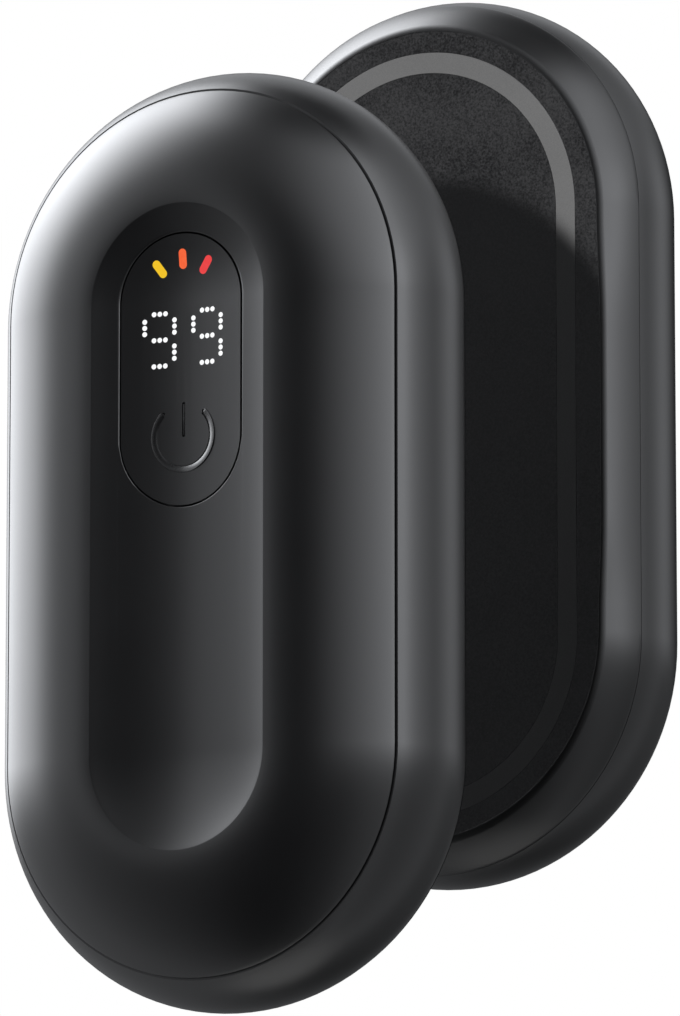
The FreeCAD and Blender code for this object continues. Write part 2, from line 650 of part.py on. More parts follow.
def disc(name, radius, low, high, x, z):
    """Makes a cylinder along the depth, between two depths."""
    cylinder = doc.addObject("Part::Cylinder", name)
    cylinder.Placement.Rotation = FreeCAD.Rotation(FreeCAD.Vector(1, 0, 0), QUARTER_TURN)
    cylinder.setExpression("Radius", radius.text)
    cylinder.setExpression("Height", (high - low).text)
    cylinder.setExpression("Placement.Base.x", x.text)
    cylinder.setExpression("Placement.Base.y", (-low).text)
    cylinder.setExpression("Placement.Base.z", z.text)
    return cylinder


def joined(name, pieces):
    fuse = doc.addObject("Part::MultiFuse", name)
    fuse.Shapes = pieces
    return fuse


def group(name, pieces):
    compound = doc.addObject("Part::Compound", name)
    compound.Links = pieces
    return compound


def cut(name, base, tool):
    result = doc.addObject("Part::Cut", name)
    result.Base = base
    result.Tool = tool
    return result


def dome_wall_depth(distance):
    """The depth of the underside of the dome shell at a distance from the spine."""
    radius = crown_under - under_centre_depth
    off = distance - dome_centre_side
    return under_centre_depth + (radius * radius - off * off).root()


def dome_shell(name):
    """Moulded shell with the dished finger groove, the key opening and four screw posts."""
    body = new_body(name)
    shell = swept(body, name, dome_section)
    edges = track_edges(shell, cell.groove_half_width, cell.groove_rim_depth, cell.spine_half, ZERO)
    rounded(body, name + "_groove_rim", shell, edges, cell.groove_rim_radius)
    post_sketch = sketch_on(body, name + "_posts_sketch", "XZ_Plane", cell.post_top_depth)
    circles(post_sketch, cell.post_radius, corner_places(cell.screw_offset, screw_reach))
    post_end = dome_wall_depth(screw_from_end) + cell.post_root
    pad(body, name + "_posts", post_sketch, post_end - cell.post_top_depth)
    pilot_end = screw_head_top + cell.screw_length + cell.screw_clearance
    pilot_sketch = sketch_on(body, name + "_pilots_sketch", "XZ_Plane", pilot_end)
    circles(pilot_sketch, cell.screw_radius, corner_places(cell.screw_offset, screw_reach))
    pocket(body, name + "_pilots", pilot_sketch, pilot_end - cell.post_top_depth + cell.overrun)
    above = cell.groove_rim_depth + cell.overrun
    key_sketch = sketch_on(body, name + "_key_opening_sketch", "XZ_Plane", above)
    racetrack(key_sketch, key_side + cell.key_gap, cell.key_straight_half, key_centre)
    pocket(body, name + "_key_opening", key_sketch, cell.groove_sink + cell.wall + cell.overrun * 2)
    return body


def side_band(name):
    """Moulded band round the middle, with the opening for the charging socket."""
    body = new_body(name)
    swept(body, name, band_section)
    top = cell.spine_half + cell.body_half_width + cell.overrun
    sketch = sketch_on(body, name + "_socket_sketch", "XY_Plane", top)
    lying_track(sketch, cell.usb_width + cell.usb_clearance * 2, cell.usb_height + cell.usb_clearance * 2)
    pocket(body, name + "_socket_opening", sketch, cell.wall * 2 + cell.overrun)
    return body


def lying_track(sketch, width, height):
    """Draws a racetrack lying across, at the depth of the widest section."""
    r = (height / 2).value
    x = (width / 2).value - r
    level = -cell.widest_depth.value
    normal = FreeCAD.Vector(0, 0, 1)
    right = sketch.addGeometry(
        Part.ArcOfCircle(Part.Circle(vector(x, level), normal, r), -math.pi / 2, math.pi / 2)
    )
    top = sketch.addGeometry(Part.LineSegment(vector(x, level + r), vector(-x, level + r)))
    left = sketch.addGeometry(
        Part.ArcOfCircle(Part.Circle(vector(-x, level), normal, r), math.pi / 2, 3 * math.pi / 2)
    )
    bottom = sketch.addGeometry(Part.LineSegment(vector(-x, level - r), vector(x, level - r)))
    for first, second in ((right, top), (top, left), (left, bottom), (bottom, right)):
        sketch.addConstraint(Sketcher.Constraint("Tangent", first, 2, second, 1))
    sketch.addConstraint(Sketcher.Constraint("Equal", right, left))
    radius_of(sketch, right, height / 2)
    place(sketch, right, 3, ((width - height) / 2, -cell.widest_depth))
    place(sketch, left, 3, ((height - width) / 2, -cell.widest_depth))


def face_cover(name):
    """Moulded frame of the flat face: its land meets the other half's."""
    body = new_body(name)
    frame = swept(body, name, cover_section)
    edges = track_edges(frame, land_outside, ZERO, cell.spine_half, ZERO)
    rounded(body, name + "_rim_corner", frame, edges, cell.rim_corner_radius)
    return body


def face_panel(name):
    """Flat heating panel with a shallow channel for the inlaid ring."""
    body = track_plate(name, panel_side, cell.spine_half, ZERO, cell.panel_recess, panel_seat)
    channel_floor = cell.panel_recess + cell.ring_thickness
    sketch = sketch_on(body, name + "_channel_sketch", "XZ_Plane", channel_floor)
    racetrack(sketch, ring_outside + cell.ring_clearance, cell.spine_half, ZERO)
    racetrack(sketch, ring_inside - cell.ring_clearance, cell.spine_half, ZERO)
    pocket(body, name + "_channel", sketch, channel_floor + cell.overrun)
    return body


def face_ring(name):
    """Inlaid ring, flush with the panel."""
    body = new_body(name)
    sketch = sketch_on(body, name + "_outline", "XZ_Plane", cell.panel_recess)
    racetrack(sketch, ring_outside, cell.spine_half, ZERO)
    racetrack(sketch, ring_inside, cell.spine_half, ZERO)
    pad(body, name + "_ring", sketch, cell.ring_thickness)
    return body


def heater_film(name):
    """Flat heating film glued to the back of the panel."""
    return track_plate(name, film_side, cell.spine_half, ZERO, panel_seat, film_top)


def magnet_holes(body, name, top, length):
    sketch = sketch_on(body, name + "_holes_sketch", "XZ_Plane", top)
    hole = cell.magnet_radius + cell.magnet_clearance
    circles(sketch, hole, corner_places(cell.magnet_offset, magnet_reach))
    pocket(body, name + "_holes", sketch, length)


def heat_spreader(name):
    """Aluminium plate that spreads the heat, holed for the magnets."""
    body = track_plate(name, film_side, cell.spine_half, ZERO, film_top, spreader_top)
    magnet_holes(body, name, spreader_top, cell.spreader_thickness)
    return body


def insulation_pad(name):
    """Foam that keeps the heat from the battery, holed for the magnets."""
    body = track_plate(name, film_side, cell.spine_half, ZERO, spreader_top, insulation_top)
    magnet_holes(body, name, insulation_top, cell.insulation_thickness)
    sensor_end = cell.spine_half / 2 + cell.sensor_length
    sketch = sketch_on(body, name + "_sensor_sketch", "XZ_Plane", spreader_top + cell.sensor_radius * 2)
    slot = cell.sensor_radius + cell.magnet_clearance
    rectangle(sketch, slot, cell.spine_half / 2 - cell.magnet_clearance, sensor_end + cell.magnet_clearance)
    pocket(body, name + "_sensor_slot", sketch, cell.sensor_radius * 2)
    return body


def magnets(name):
    """Four disc magnets that reach from the heating film to the tray."""
    places = corner_places(cell.magnet_offset, magnet_reach)
    return group(name, [
        disc("%s_disc_%d" % (name, number), cell.magnet_radius, film_top, insulation_top, x, z)
        for number, (x, z) in enumerate(places, start=1)
    ])


def temperature_sensor(name):
    """Glass bead sensor that lies on the heat spreader."""
    bead = doc.addObject("Part::Cylinder", name + "_bead")
    bead.setExpression("Radius", cell.sensor_radius.text)
    bead.setExpression("Height", cell.sensor_length.text)
    bead.setExpression("Placement.Base.y", (-(spreader_top + cell.sensor_radius)).text)
    bead.setExpression("Placement.Base.z", (cell.spine_half / 2).text)
    return group(name, [bead])


def battery_tray(name):
    """Moulded tray for the battery, with posts that take the screws."""
    body = new_body(name)
    swept(body, name, tray_section)
    places = corner_places(cell.screw_offset, screw_reach)
    post_sketch = sketch_on(body, name + "_posts_sketch", "XZ_Plane", insulation_top)
    circles(post_sketch, cell.post_radius, places)
    pad(body, name + "_posts", post_sketch, cell.post_top_depth - insulation_top)
    hole_sketch = sketch_on(body, name + "_holes_sketch", "XZ_Plane", cell.post_top_depth)
    circles(hole_sketch, cell.screw_radius + cell.screw_clearance, places)
    pocket(body, name + "_holes", hole_sketch, cell.post_top_depth - insulation_top)
    head_sketch = sketch_on(body, name + "_heads_sketch", "XZ_Plane", screw_head_top)
    circles(head_sketch, cell.screw_head_radius + cell.screw_clearance, places)
    pocket(body, name + "_heads", head_sketch, cell.screw_head_height)
    return body


def screws(name):
    """Four screws, driven from the flat side through the tray into the dome shell."""
    pieces = []
    for number, (x, z) in enumerate(corner_places(cell.screw_offset, screw_reach), start=1):
        stem = "%s_%d" % (name, number)
        shank_top = screw_head_top + cell.screw_length
        shank = disc(stem + "_shank", cell.screw_radius, screw_head_top, shank_top, x, z)
        head = disc(stem + "_head", cell.screw_head_radius, insulation_top, screw_head_top, x, z)
        recess_top = insulation_top + cell.screw_head_height / 2
        recess = disc(stem + "_recess", cell.screw_recess_radius, insulation_top, recess_top, x, z)
        pieces.append(cut(stem, joined(stem + "_blank", [shank, head]), recess))
    return group(name, pieces)


def battery_cell(name):
    """Flat lithium cell that lies in the tray."""
    body = new_body(name)
    sketch = sketch_on(body, name + "_outline", "XY_Plane", cell_low_end)
    rectangle(sketch, cell_side, -cell_top, -tray_floor)
    can = pad(body, name + "_can", sketch, cell_high_end - cell_low_end)
    doc.recompute()
    edges = [
        "Edge%d" % number
        for number, edge in enumerate(can.Shape.Edges, start=1)
        if abs(edge.Vertexes[0].Z - edge.Vertexes[-1].Z) > NEAR
    ]
    rounded(body, name + "_edges", can, edges, cell.cell_edge_radius)
    return body


def battery_tabs(name):
    """Two nickel tabs from the end of the cell up to the main board."""
    top = cell_high_end
    level = tray_floor + (cell_top - tray_floor) * TAB_LEVEL_SHARE
    pieces = []
    for side, x in (("left", -cell.tab_offset), ("right", cell.tab_offset)):
        stem = "%s_%s" % (name, side)
        end = top + cell.tab_reach
        foot = block(stem + "_foot", cell.tab_width, level, level + cell.tab_thickness, top, end, x)
        riser = block(stem + "_riser", cell.tab_width, level, board_under, end - cell.tab_thickness, end, x)
        pieces.append(joined(stem, [foot, riser]))
    return group(name, pieces)


def board_pad(name):
    """Foam tape between the battery and the main board."""
    bottom = board_centre - cell.pad_length / 2
    tape = block(name + "_tape", cell.pad_width, cell_top, board_under, bottom, bottom + cell.pad_length)
    return group(name, [tape])


def main_board(name):
    """Printed circuit board under the key."""
    half = board_side
    return track_plate(name, half, cell.board_straight_half, board_centre, board_under, board_top)


def board_chips(name):
    """Charging chip, its choke and a smaller chip on the main board."""
    high = board_top + cell.chip_height
    upper = cell.chip_rise
    lower = cell.chip_rise - cell.chip_drop
    pieces = []
    for number, (x, z) in enumerate(
        ((cell.chip_spread, upper), (-cell.chip_spread, upper), (cell.chip_spread, lower)), start=1
    ):
        bottom = z - cell.chip_side / 2
        top = z + cell.chip_side / 2
        pieces.append(block("%s_%d" % (name, number), cell.chip_side, board_top, high, bottom, top, x))
    return group(name, pieces)


def charge_board(name):
    """Small board that carries the charging socket."""
    end = cell.spine_half + cell.body_half_width - cell.charge_board_inset
    width = cell.charge_board_width
    plate = block(name + "_plate", width, usb_top, charge_board_top, charge_board_start, end)
    return group(name, [plate])


def board_pins(name):
    """Row of pins that joins the two boards."""
    bottom = charge_board_start + cell.pin_inset
    return group(name, [
        block(
            "%s_%d" % (name, number), cell.pin_side, charge_board_top, board_under,
            bottom, bottom + cell.pin_side, cell.pin_pitch * share,
        )
        for number, share in enumerate(PIN_SHARES, start=1)
    ])


def usb_socket(name):
    """Charging socket: a flattened tube with a tongue inside."""
    body = new_body(name)
    back = usb_mouth - cell.usb_length
    shell_sketch = sketch_on(body, name + "_shell_sketch", "XY_Plane", back)
    lying_track(shell_sketch, cell.usb_width, cell.usb_height)
    pad(body, name + "_shell", shell_sketch, cell.usb_length)
    mouth_sketch = sketch_on(body, name + "_mouth_sketch", "XY_Plane", usb_mouth)
    lying_track(mouth_sketch, cell.usb_width - cell.usb_wall * 2, cell.usb_height - cell.usb_wall * 2)
    pocket(body, name + "_mouth", mouth_sketch, cell.usb_cavity)
    tongue_sketch = sketch_on(body, name + "_tongue_sketch", "XY_Plane", usb_mouth - cell.usb_cavity)
    half_height = cell.usb_tongue_height / 2
    low = -(cell.widest_depth + half_height)
    rectangle(tongue_sketch, cell.usb_tongue_width / 2, low, half_height - cell.widest_depth)
    pad(body, name + "_tongue", tongue_sketch, cell.usb_tongue_length)
    return body


def segment_dots():
    """The places of the dots that show a nine, for both digits."""
    places = []
    for side in (-1, 1):
        middle = cell.digit_pitch * (side / 2)
        for level in (-1, 0, 1):
            row_height = digit_centre + cell.digit_half_rise * level
            for share in DOT_SHARES:
                places.append((middle + cell.dot_pitch * share, row_height))
        for column, half in ((-1, 1), (1, 1), (1, -1)):
            for share in DOT_SHARES:
                rise = cell.digit_half_rise * (half / 2) + cell.dot_pitch * share
                places.append((middle + cell.digit_half_width * column, digit_centre + rise))
    return places


def dot_pipes(name):
    """Round pipes through the key's top that show two digits."""
    return group(name, [
        disc("%s_%d" % (name, number), cell.dot_radius, key_ceiling, cell.groove_rim_depth, x, z)
        for number, (x, z) in enumerate(segment_dots(), start=1)
    ])


def bar_pipe(name, x, z, tilt):
    """Pipe with round ends through the key's top, leaning to one side."""
    straight = (cell.bar_length - cell.bar_width) / 2
    body = new_body(name)
    sketch = sketch_on(body, name + "_sketch", "XZ_Plane", key_ceiling)
    racetrack(sketch, cell.bar_width / 2, straight, ZERO)
    pad(body, name + "_pad", sketch, cell.groove_rim_depth - key_ceiling)
    body.Placement.Rotation = FreeCAD.Rotation(FreeCAD.Vector(0, 1, 0), tilt)
    body.setExpression("Placement.Base.x", x.text)
    body.setExpression("Placement.Base.z", z.text)
    return body


def power_stroke(name, low, high, stroke):
    """The power mark between two depths: an open ring and an upright bar."""
    half = stroke / 2
    outer = disc(name + "_outer", cell.mark_radius + half, low, high, ZERO, mark_centre)
    start = QUARTER_TURN + MARK_GAP / 2
    lie_flat = FreeCAD.Rotation(FreeCAD.Vector(1, 0, 0), QUARTER_TURN)
    turn = FreeCAD.Rotation(FreeCAD.Vector(0, 0, 1), start)
    outer.Placement.Rotation = lie_flat.multiply(turn)
    outer.Angle = 2 * HALF_TURN - MARK_GAP
    inner = disc(name + "_inner", cell.mark_radius - half, low, high, ZERO, mark_centre)
    pieces = [cut(name + "_ring", outer, inner)]
    for side in (-1, 1):
        angle = math.radians(MARK_GAP / 2)
        x = cell.mark_radius * (side * math.sin(angle))
        z = mark_centre + cell.mark_radius * math.cos(angle)
        pieces.append(disc("%s_end_%d" % (name, side + 2), half, low, high, x, z))
    top = mark_centre + cell.mark_bar_top
    bottom = top - cell.mark_bar_length
    ring = joined(name + "_open_ring", pieces)
    bar = joined(name + "_bar", [
        block(name + "_bar_middle", stroke, low, high, bottom, top),
        disc(name + "_bar_low", half, low, high, ZERO, bottom),
        disc(name + "_bar_high", half, low, high, ZERO, top),
    ])
    return group(name, [ring, bar])


def power_mark(name):
    """Inlay of the power mark in its engraved channel."""
    return power_stroke(name, groove_floor - cell.mark_depth, groove_floor - cell.mark_sink, cell.mark_stroke)


def key_cap(name):
    """The key before it is holed: a dished cap with a flange and a hollow for the light guide."""
    body = new_body(name)
    flange_sketch = sketch_on(body, name + "_flange_sketch", "XZ_Plane", flange_under)
    racetrack(flange_sketch, key_side + cell.key_flange, cell.key_straight_half, key_centre)
    pad(body, name + "_flange", flange_sketch, cell.key_flange)
    cap_sketch = sketch_on(body, name + "_cap_sketch", "XZ_Plane", flange_under)
    racetrack(cap_sketch, key_side, cell.key_straight_half, key_centre)
    pad(body, name + "_blank", cap_sketch, cell.groove_rim_depth - flange_under)
    for number, offset in ((1, ZERO), (2, cell.spine_half)):
        dish_sketch = sketch_on(body, "%s_dish_sketch_%d" % (name, number), "XY_Plane", offset)
        groove_section(dish_sketch)
        if offset is ZERO:
            side = body.newObject("PartDesign::Pocket", name + "_dish_side")
            side.Profile = dish_sketch
            side.Midplane = True
            side.setExpression("Length", (cell.spine_half * 2).text)
            other = body.newObject("PartDesign::Mirrored", name + "_dish_other_side")
            other.Originals = [side]
            other.MirrorPlane = (plane_of(body, "YZ_Plane"), [""])
            body.Tip = other
        else:
            end = body.newObject("PartDesign::Groove", name + "_dish_end")
            end.Profile = dish_sketch
            end.ReferenceAxis = (dish_sketch, ["V_Axis"])
            end.Angle = HALF_TURN
            end.Reversed = True
    hollow_sketch = sketch_on(body, name + "_hollow_sketch", "XZ_Plane", key_ceiling)
    racetrack(hollow_sketch, guide_side + cell.guide_clearance, cell.key_straight_half, key_centre)
    circles(hollow_sketch, cell.plunger_radius + cell.key_flange, ((ZERO, mark_centre),))
    pocket(body, name + "_hollow", hollow_sketch, key_ceiling - flange_under)
    return body


def within(name, cap, pipes):
    """Ends pipes flush with the key's dished top."""
    result = doc.addObject("Part::Common", name)
    result.Base = cap
    result.Tool = pipes
    return group(name + "_group", [result])


def light_guide(name):
    """Milky plate on a foot that carries the light from the board to the light pipes."""
    plate_under = board_top + cell.guide_foot
    plate_top = plate_under + cell.guide_thickness
    half = guide_side
    body = track_plate(name, half, cell.key_straight_half, key_centre, board_top, plate_top)
    hollow_sketch = sketch_on(body, name + "_hollow_sketch", "XZ_Plane", plate_under)
    racetrack(hollow_sketch, half - cell.guide_wall, cell.key_straight_half, key_centre)
    pocket(body, name + "_hollow", hollow_sketch, cell.guide_foot)
    hole_sketch = sketch_on(body, name + "_switch_sketch", "XZ_Plane", plate_top)
    switch = cell.switch_side / 2 + cell.switch_clearance
    rectangle(hole_sketch, switch, mark_centre - switch, mark_centre + switch)
    pocket(body, name + "_switch_hole", hole_sketch, cell.guide_thickness)
    return body


def display_leds(name):
    """Small lights on the board: one under each segment and each heat bar."""
    high = board_top + cell.led_height
    places = []
    for side in (-1, 1):
        middle = cell.digit_pitch * (side / 2)
        for level in (-1, 0, 1):
            places.append((middle, digit_centre + cell.digit_half_rise * level))
        for column in (-1, 1):
            for half in (-1, 1):
                column_x = middle + cell.digit_half_width * column
                places.append((column_x, digit_centre + cell.digit_half_rise * (half / 2)))
    places.append((-cell.bar_spread, key_centre + cell.bar_rise))
    places.append((ZERO, key_centre + cell.bar_rise))
    places.append((cell.bar_spread, key_centre + cell.bar_rise))
    pieces = []
    for number, (x, z) in enumerate(places, start=1):
        bottom = z - cell.led_length / 2
        top = bottom + cell.led_length
        pieces.append(block("%s_%d" % (name, number), cell.led_width, board_top, high, bottom, top, x))
    return group(name, pieces)


def power_switch(name):
    """Push switch on the board, bored for its plunger."""
    bottom = mark_centre - cell.switch_side / 2
    box = block(name + "_box", cell.switch_side, board_top, switch_top, bottom, bottom + cell.switch_side)
    bore_low = switch_top - cell.plunger_seat - cell.key_travel
    bore = disc(
        name + "_bore", cell.plunger_radius + cell.plunger_clearance, bore_low,
        switch_top + cell.overrun, ZERO, mark_centre,
    )
    return cut(name, box, bore)


def switch_plunger(name):
    """Plunger that the key presses into the switch."""
    low = switch_top - cell.plunger_seat + cell.plunger_clearance
    return group(name, [disc(name + "_rod", cell.plunger_radius, low, flange_under, ZERO, mark_centre)])


nodes = []


def finished(piece, label, turn, base_y, base_z):
    """Names a finished piece and puts it where its half of the pair stands."""
    piece.Label = label
    rotation = FreeCAD.Rotation(FreeCAD.Vector(0, 0, 1), turn)
    piece.Placement = FreeCAD.Placement(FreeCAD.Vector(0, base_y.value, base_z.value), rotation)
    piece.setExpression("Placement.Base.y", base_y.text)
    piece.setExpression("Placement.Base.z", base_z.text)
    nodes.append(piece)


def half_of_pair(prefix, turn, base_y, base_z):
    """Builds every piece of one half and puts it in its place."""
    def own(piece_name):
        return "%s_%s" % (prefix, piece_name)

    makers = (
        dome_shell, side_band, face_cover, face_panel, face_ring, heater_film, heat_spreader,
        insulation_pad, magnets, temperature_sensor, battery_tray, screws, battery_cell, battery_tabs,
        board_pad, main_board, board_chips, charge_board, board_pins, usb_socket, light_guide,
        display_leds, power_switch, switch_plunger, power_mark,
    )
    for maker in makers:
        finished(maker(own(maker.__name__)), own(maker.__name__), turn, base_y, base_z)
    rise = key_centre + cell.bar_rise
    bars = (
        ("low_heat_bar", -cell.bar_spread, rise, -BAR_TILT),
        ("middle_heat_bar", ZERO, rise + cell.bar_lift, 0),
        ("high_heat_bar", cell.bar_spread, rise, BAR_TILT),
    )
    cap = key_cap(own("key_cap"))
    pipes = [dot_pipes(own("dot_pipes"))]
    finished(within(own("key_dots"), cap, pipes[0]), own("digit_dots"), turn, base_y, base_z)
    for bar_name, x, z, tilt in bars:
        pipes.append(bar_pipe(own(bar_name) + "_pipe", x, z, tilt))
        finished(within(own(bar_name) + "_end", cap, pipes[-1]), own(bar_name), turn, base_y, base_z)
    channel_floor = groove_floor - cell.mark_depth
    pipes.append(power_stroke(own("mark_channel"), channel_floor, cell.groove_rim_depth, cell.mark_stroke))
    holed = cut(own("holed_cap"), cap, group(own("key_tools"), pipes))
    finished(group(own("key"), [holed]), own("power_key"), turn, base_y, base_z)


half_of_pair("front", 0, -(groove_floor + cell.apart_gap), -cell.apart_rise)
half_of_pair("rear", HALF_TURN, -groove_floor, ZERO)
doc.recompute()

for item in doc.Objects:
    if "Invalid" in item.State or "Error" in item.State:
        raise RuntimeError("%s failed: %s" % (item.Label, item.State))
for node in nodes:
    if node.Shape.isNull() or not node.Shape.isValid() or not node.Shape.Solids:
        raise RuntimeError("%s has no valid solid" % node.Label)
    node.Shape.exportStep("parts/%s.step" % node.Label)
    box = node.Shape.BoundBox
    print("%-26s solids %2d  volume %9.1f  y %7.2f %7.2f  z %7.2f %7.2f" % (
        node.Label, len(node.Shape.Solids), node.Shape.Volume, box.YMin, box.YMax, box.ZMin, box.ZMax,
    ))
print("nodes", len(nodes))
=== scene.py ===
import math

import bpy
from mathutils import Matrix, Vector


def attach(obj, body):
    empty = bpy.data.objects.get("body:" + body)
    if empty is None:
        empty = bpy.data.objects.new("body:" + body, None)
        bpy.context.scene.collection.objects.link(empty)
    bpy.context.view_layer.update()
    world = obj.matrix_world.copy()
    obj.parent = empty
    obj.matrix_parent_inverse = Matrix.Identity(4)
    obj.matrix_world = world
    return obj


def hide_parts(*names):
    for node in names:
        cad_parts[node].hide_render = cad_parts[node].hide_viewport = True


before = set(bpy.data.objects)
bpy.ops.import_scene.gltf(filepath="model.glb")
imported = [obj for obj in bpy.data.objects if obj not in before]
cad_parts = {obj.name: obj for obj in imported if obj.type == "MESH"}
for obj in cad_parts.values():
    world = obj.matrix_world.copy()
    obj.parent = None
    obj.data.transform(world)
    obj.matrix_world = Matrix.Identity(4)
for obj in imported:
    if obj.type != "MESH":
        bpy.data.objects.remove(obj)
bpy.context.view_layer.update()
bpy.ops.object.select_all(action="DESELECT")


# ---- Battery trays ----
# The inner chassis of each half, injection moulded in black glass-filled nylon. It carries the cell above the
# heater stack, and four screws hold it to posts on the dome shell.

def linear(hex_colour):
    """An sRGB hex colour as linear red, green, blue and alpha."""
    channels = []
    for start in (1, 3, 5):
        share = int(hex_colour[start:start + 2], 16) / 255
        channels.append(share / 12.92 if share <= 0.04045 else ((share + 0.055) / 1.055) ** 2.4)
    return (*channels, 1.0)


def add(tree, kind, settings=None, links=None):
    """Adds a node with its settings (node properties or input values) and its links (input to source socket)."""
    node = tree.nodes.new(kind)
    for key, value in (settings or {}).items():
        if hasattr(node, str(key)):
            setattr(node, key, value)
        else:
            node.inputs[key].default_value = value
    for key, source in (links or {}).items():
        tree.links.new(source, node.inputs[key])
    return node


def new_finish(name, settings):
    """A new material with its shader's plain numbers set: its node tree, its shader and its place in millimetres."""
    material = bpy.data.materials.new(name)
    material.use_nodes = True
    tree = material.node_tree
    shader = tree.nodes["Principled BSDF"]
    for key, value in settings.items():
        shader.inputs[key].default_value = value
    where = add(tree, "ShaderNodeTexCoord")
    millimetres = add(tree, "ShaderNodeMapping", {"Scale": (1000, 1000, 1000)}, {"Vector": where.outputs["Object"]})
    return material, tree, shader, millimetres.outputs["Vector"]


def lay_pattern(tree, shader, pattern, colours, roughness, heights):
    """Lets a pattern from 0 to 1 drive colour and roughness, and stacks bumps, each a pattern and its mm."""
    colour = add(tree, "ShaderNodeMix", {"data_type": "RGBA", 6: linear(colours[0]), 7: linear(colours[1])},
                 {0: pattern})
    gloss = add(tree, "ShaderNodeMapRange", {"To Min": roughness[0], "To Max": roughness[1]}, {"Value": pattern})
    tree.links.new(colour.outputs[2], shader.inputs["Base Color"])
    tree.links.new(gloss.outputs["Result"], shader.inputs["Roughness"])
    below = None
    for height, depth in heights:
        bump = add(tree, "ShaderNodeBump", {"Strength": 1.0, "Distance": depth / 1000}, {"Height": height})
        if below is not None:
            tree.links.new(below.outputs["Normal"], bump.inputs["Normal"])
        below = bump
    tree.links.new(below.outputs["Normal"], shader.inputs["Normal"])


def moulded(name, colours, grain, depth, roughness, settings=None):
    """Moulded plastic: the mould's eroded grain of a size in mm, over a cloudy drift and shallow flow waves."""
    material, tree, shader, place = new_finish(name, {"IOR": 1.5, **(settings or {})})
    fine = add(tree, "ShaderNodeTexNoise", {"Scale": 1 / grain, "Detail": 3.0, "Roughness": 0.6}, {"Vector": place})
    cloud = add(tree, "ShaderNodeTexNoise", {"Scale": 0.12, "Detail": 3.0}, {"Vector": place})
    drift = add(tree, "ShaderNodeMath", {"operation": "MULTIPLY", 1: 0.3}, {0: cloud.outputs["Fac"]})
    both = add(tree, "ShaderNodeMath", {"operation": "MULTIPLY_ADD", 1: 0.7},
               {0: fine.outputs["Fac"], 2: drift.outputs["Value"]})
    spread = add(tree, "ShaderNodeMapRange", {"From Min": 0.36, "From Max": 0.64}, {"Value": both.outputs["Value"]})
    lay_pattern(tree, shader, spread.outputs["Result"], colours, roughness,
                heights=[(cloud.outputs["Fac"], 0.003), (fine.outputs["Fac"], depth)])
    return material


def dress(node, material):
    """Gives a finish to the CAD node of that name in both halves."""
    for half in ("front_", "rear_"):
        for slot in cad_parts[half + node].material_slots:
            slot.material = material


# Glass-filled nylon as moulded: a dry, cloudy black, because the short fibres float up to its skin.
nylon = moulded("black glass-filled nylon moulded", ("#101011", "#1e1e20"), grain=0.35, depth=0.006,
                roughness=(0.5, 0.66))
dress("battery_tray", nylon)


# ---- Battery cells ----
# A flat lithium pouch cell, wrapped in aluminium laminate that is heat-sealed round its edge. It lies in the
# tray, inside the low rim, and the foam tape on its back keeps it down.

# Aluminium laminate drawn over the electrode stack: a dull silver skin with soft dimples and a few sharp creases.
pouch, tree, shader, place = new_finish("aluminium laminate pouch", {"Metallic": 1.0})
dimples = add(tree, "ShaderNodeTexNoise", {"Scale": 0.3, "Detail": 2.0}, {"Vector": place})
creases = add(tree, "ShaderNodeTexVoronoi", {"feature": "DISTANCE_TO_EDGE", "Scale": 0.11}, {"Vector": place})
sharp = add(tree, "ShaderNodeMapRange", {"From Max": 0.12}, {"Value": creases.outputs["Distance"]})
dull = add(tree, "ShaderNodeTexNoise", {"Scale": 3.0, "Detail": 4.0}, {"Vector": place})
lay_pattern(tree, shader, dull.outputs["Fac"], ("#9a9da1", "#c6c9cc"), roughness=(0.34, 0.5),
            heights=[(dimples.outputs["Fac"], 0.12), (sharp.outputs["Result"], 0.02)])
dress("battery_cell", pouch)


# ---- Battery tabs ----
# The two strips that lead out of the upper end of each cell, cut from rolled nickel. They are welded to the
# electrodes and bent up to the main board.

def drawn_metal(name, colours, line, along, roughness, settings=None):
    """Rolled, drawn or brushed metal: lines of a width in mm that run along one axis, under faint stains."""
    material, tree, shader, place = new_finish(name, {"Metallic": 1.0, **(settings or {})})
    stretch = [1 / line, 1 / line, 1 / line]
    stretch["xyz".index(along)] = 0.03 / line
    laid = add(tree, "ShaderNodeMapping", {"Scale": stretch}, {"Vector": place})
    lines = add(tree, "ShaderNodeTexNoise", {"Scale": 1.0, "Detail": 4.0}, {"Vector": laid.outputs["Vector"]})
    stains = add(tree, "ShaderNodeTexNoise", {"Scale": 0.25, "Detail": 3.0}, {"Vector": place})
    faint = add(tree, "ShaderNodeMath", {"operation": "MULTIPLY", 1: 0.35}, {0: stains.outputs["Fac"]})
    both = add(tree, "ShaderNodeMath", {"operation": "MULTIPLY_ADD", 1: 0.65},
               {0: lines.outputs["Fac"], 2: faint.outputs["Value"]})
    spread = add(tree, "ShaderNodeMapRange", {"From Min": 0.35, "From Max": 0.65}, {"Value": both.outputs["Value"]})
    lay_pattern(tree, shader, spread.outputs["Result"], colours, roughness,
                heights=[(lines.outputs["Fac"], line * 0.02)])
    return material


# Rolled nickel: a warm grey with mill lines, which are drawn 0.12 mm wide so that they show.
nickel = drawn_metal("rolled nickel strip", ("#9c9588", "#bfb8aa"), line=0.12, along="y", roughness=(0.22, 0.36))
dress("battery_tabs", nickel)


# ---- Foam tapes ----
# Black foam tape between each cell and its main board, cut from closed-cell sheet. It is stuck to the cell and
# stops it rattling.

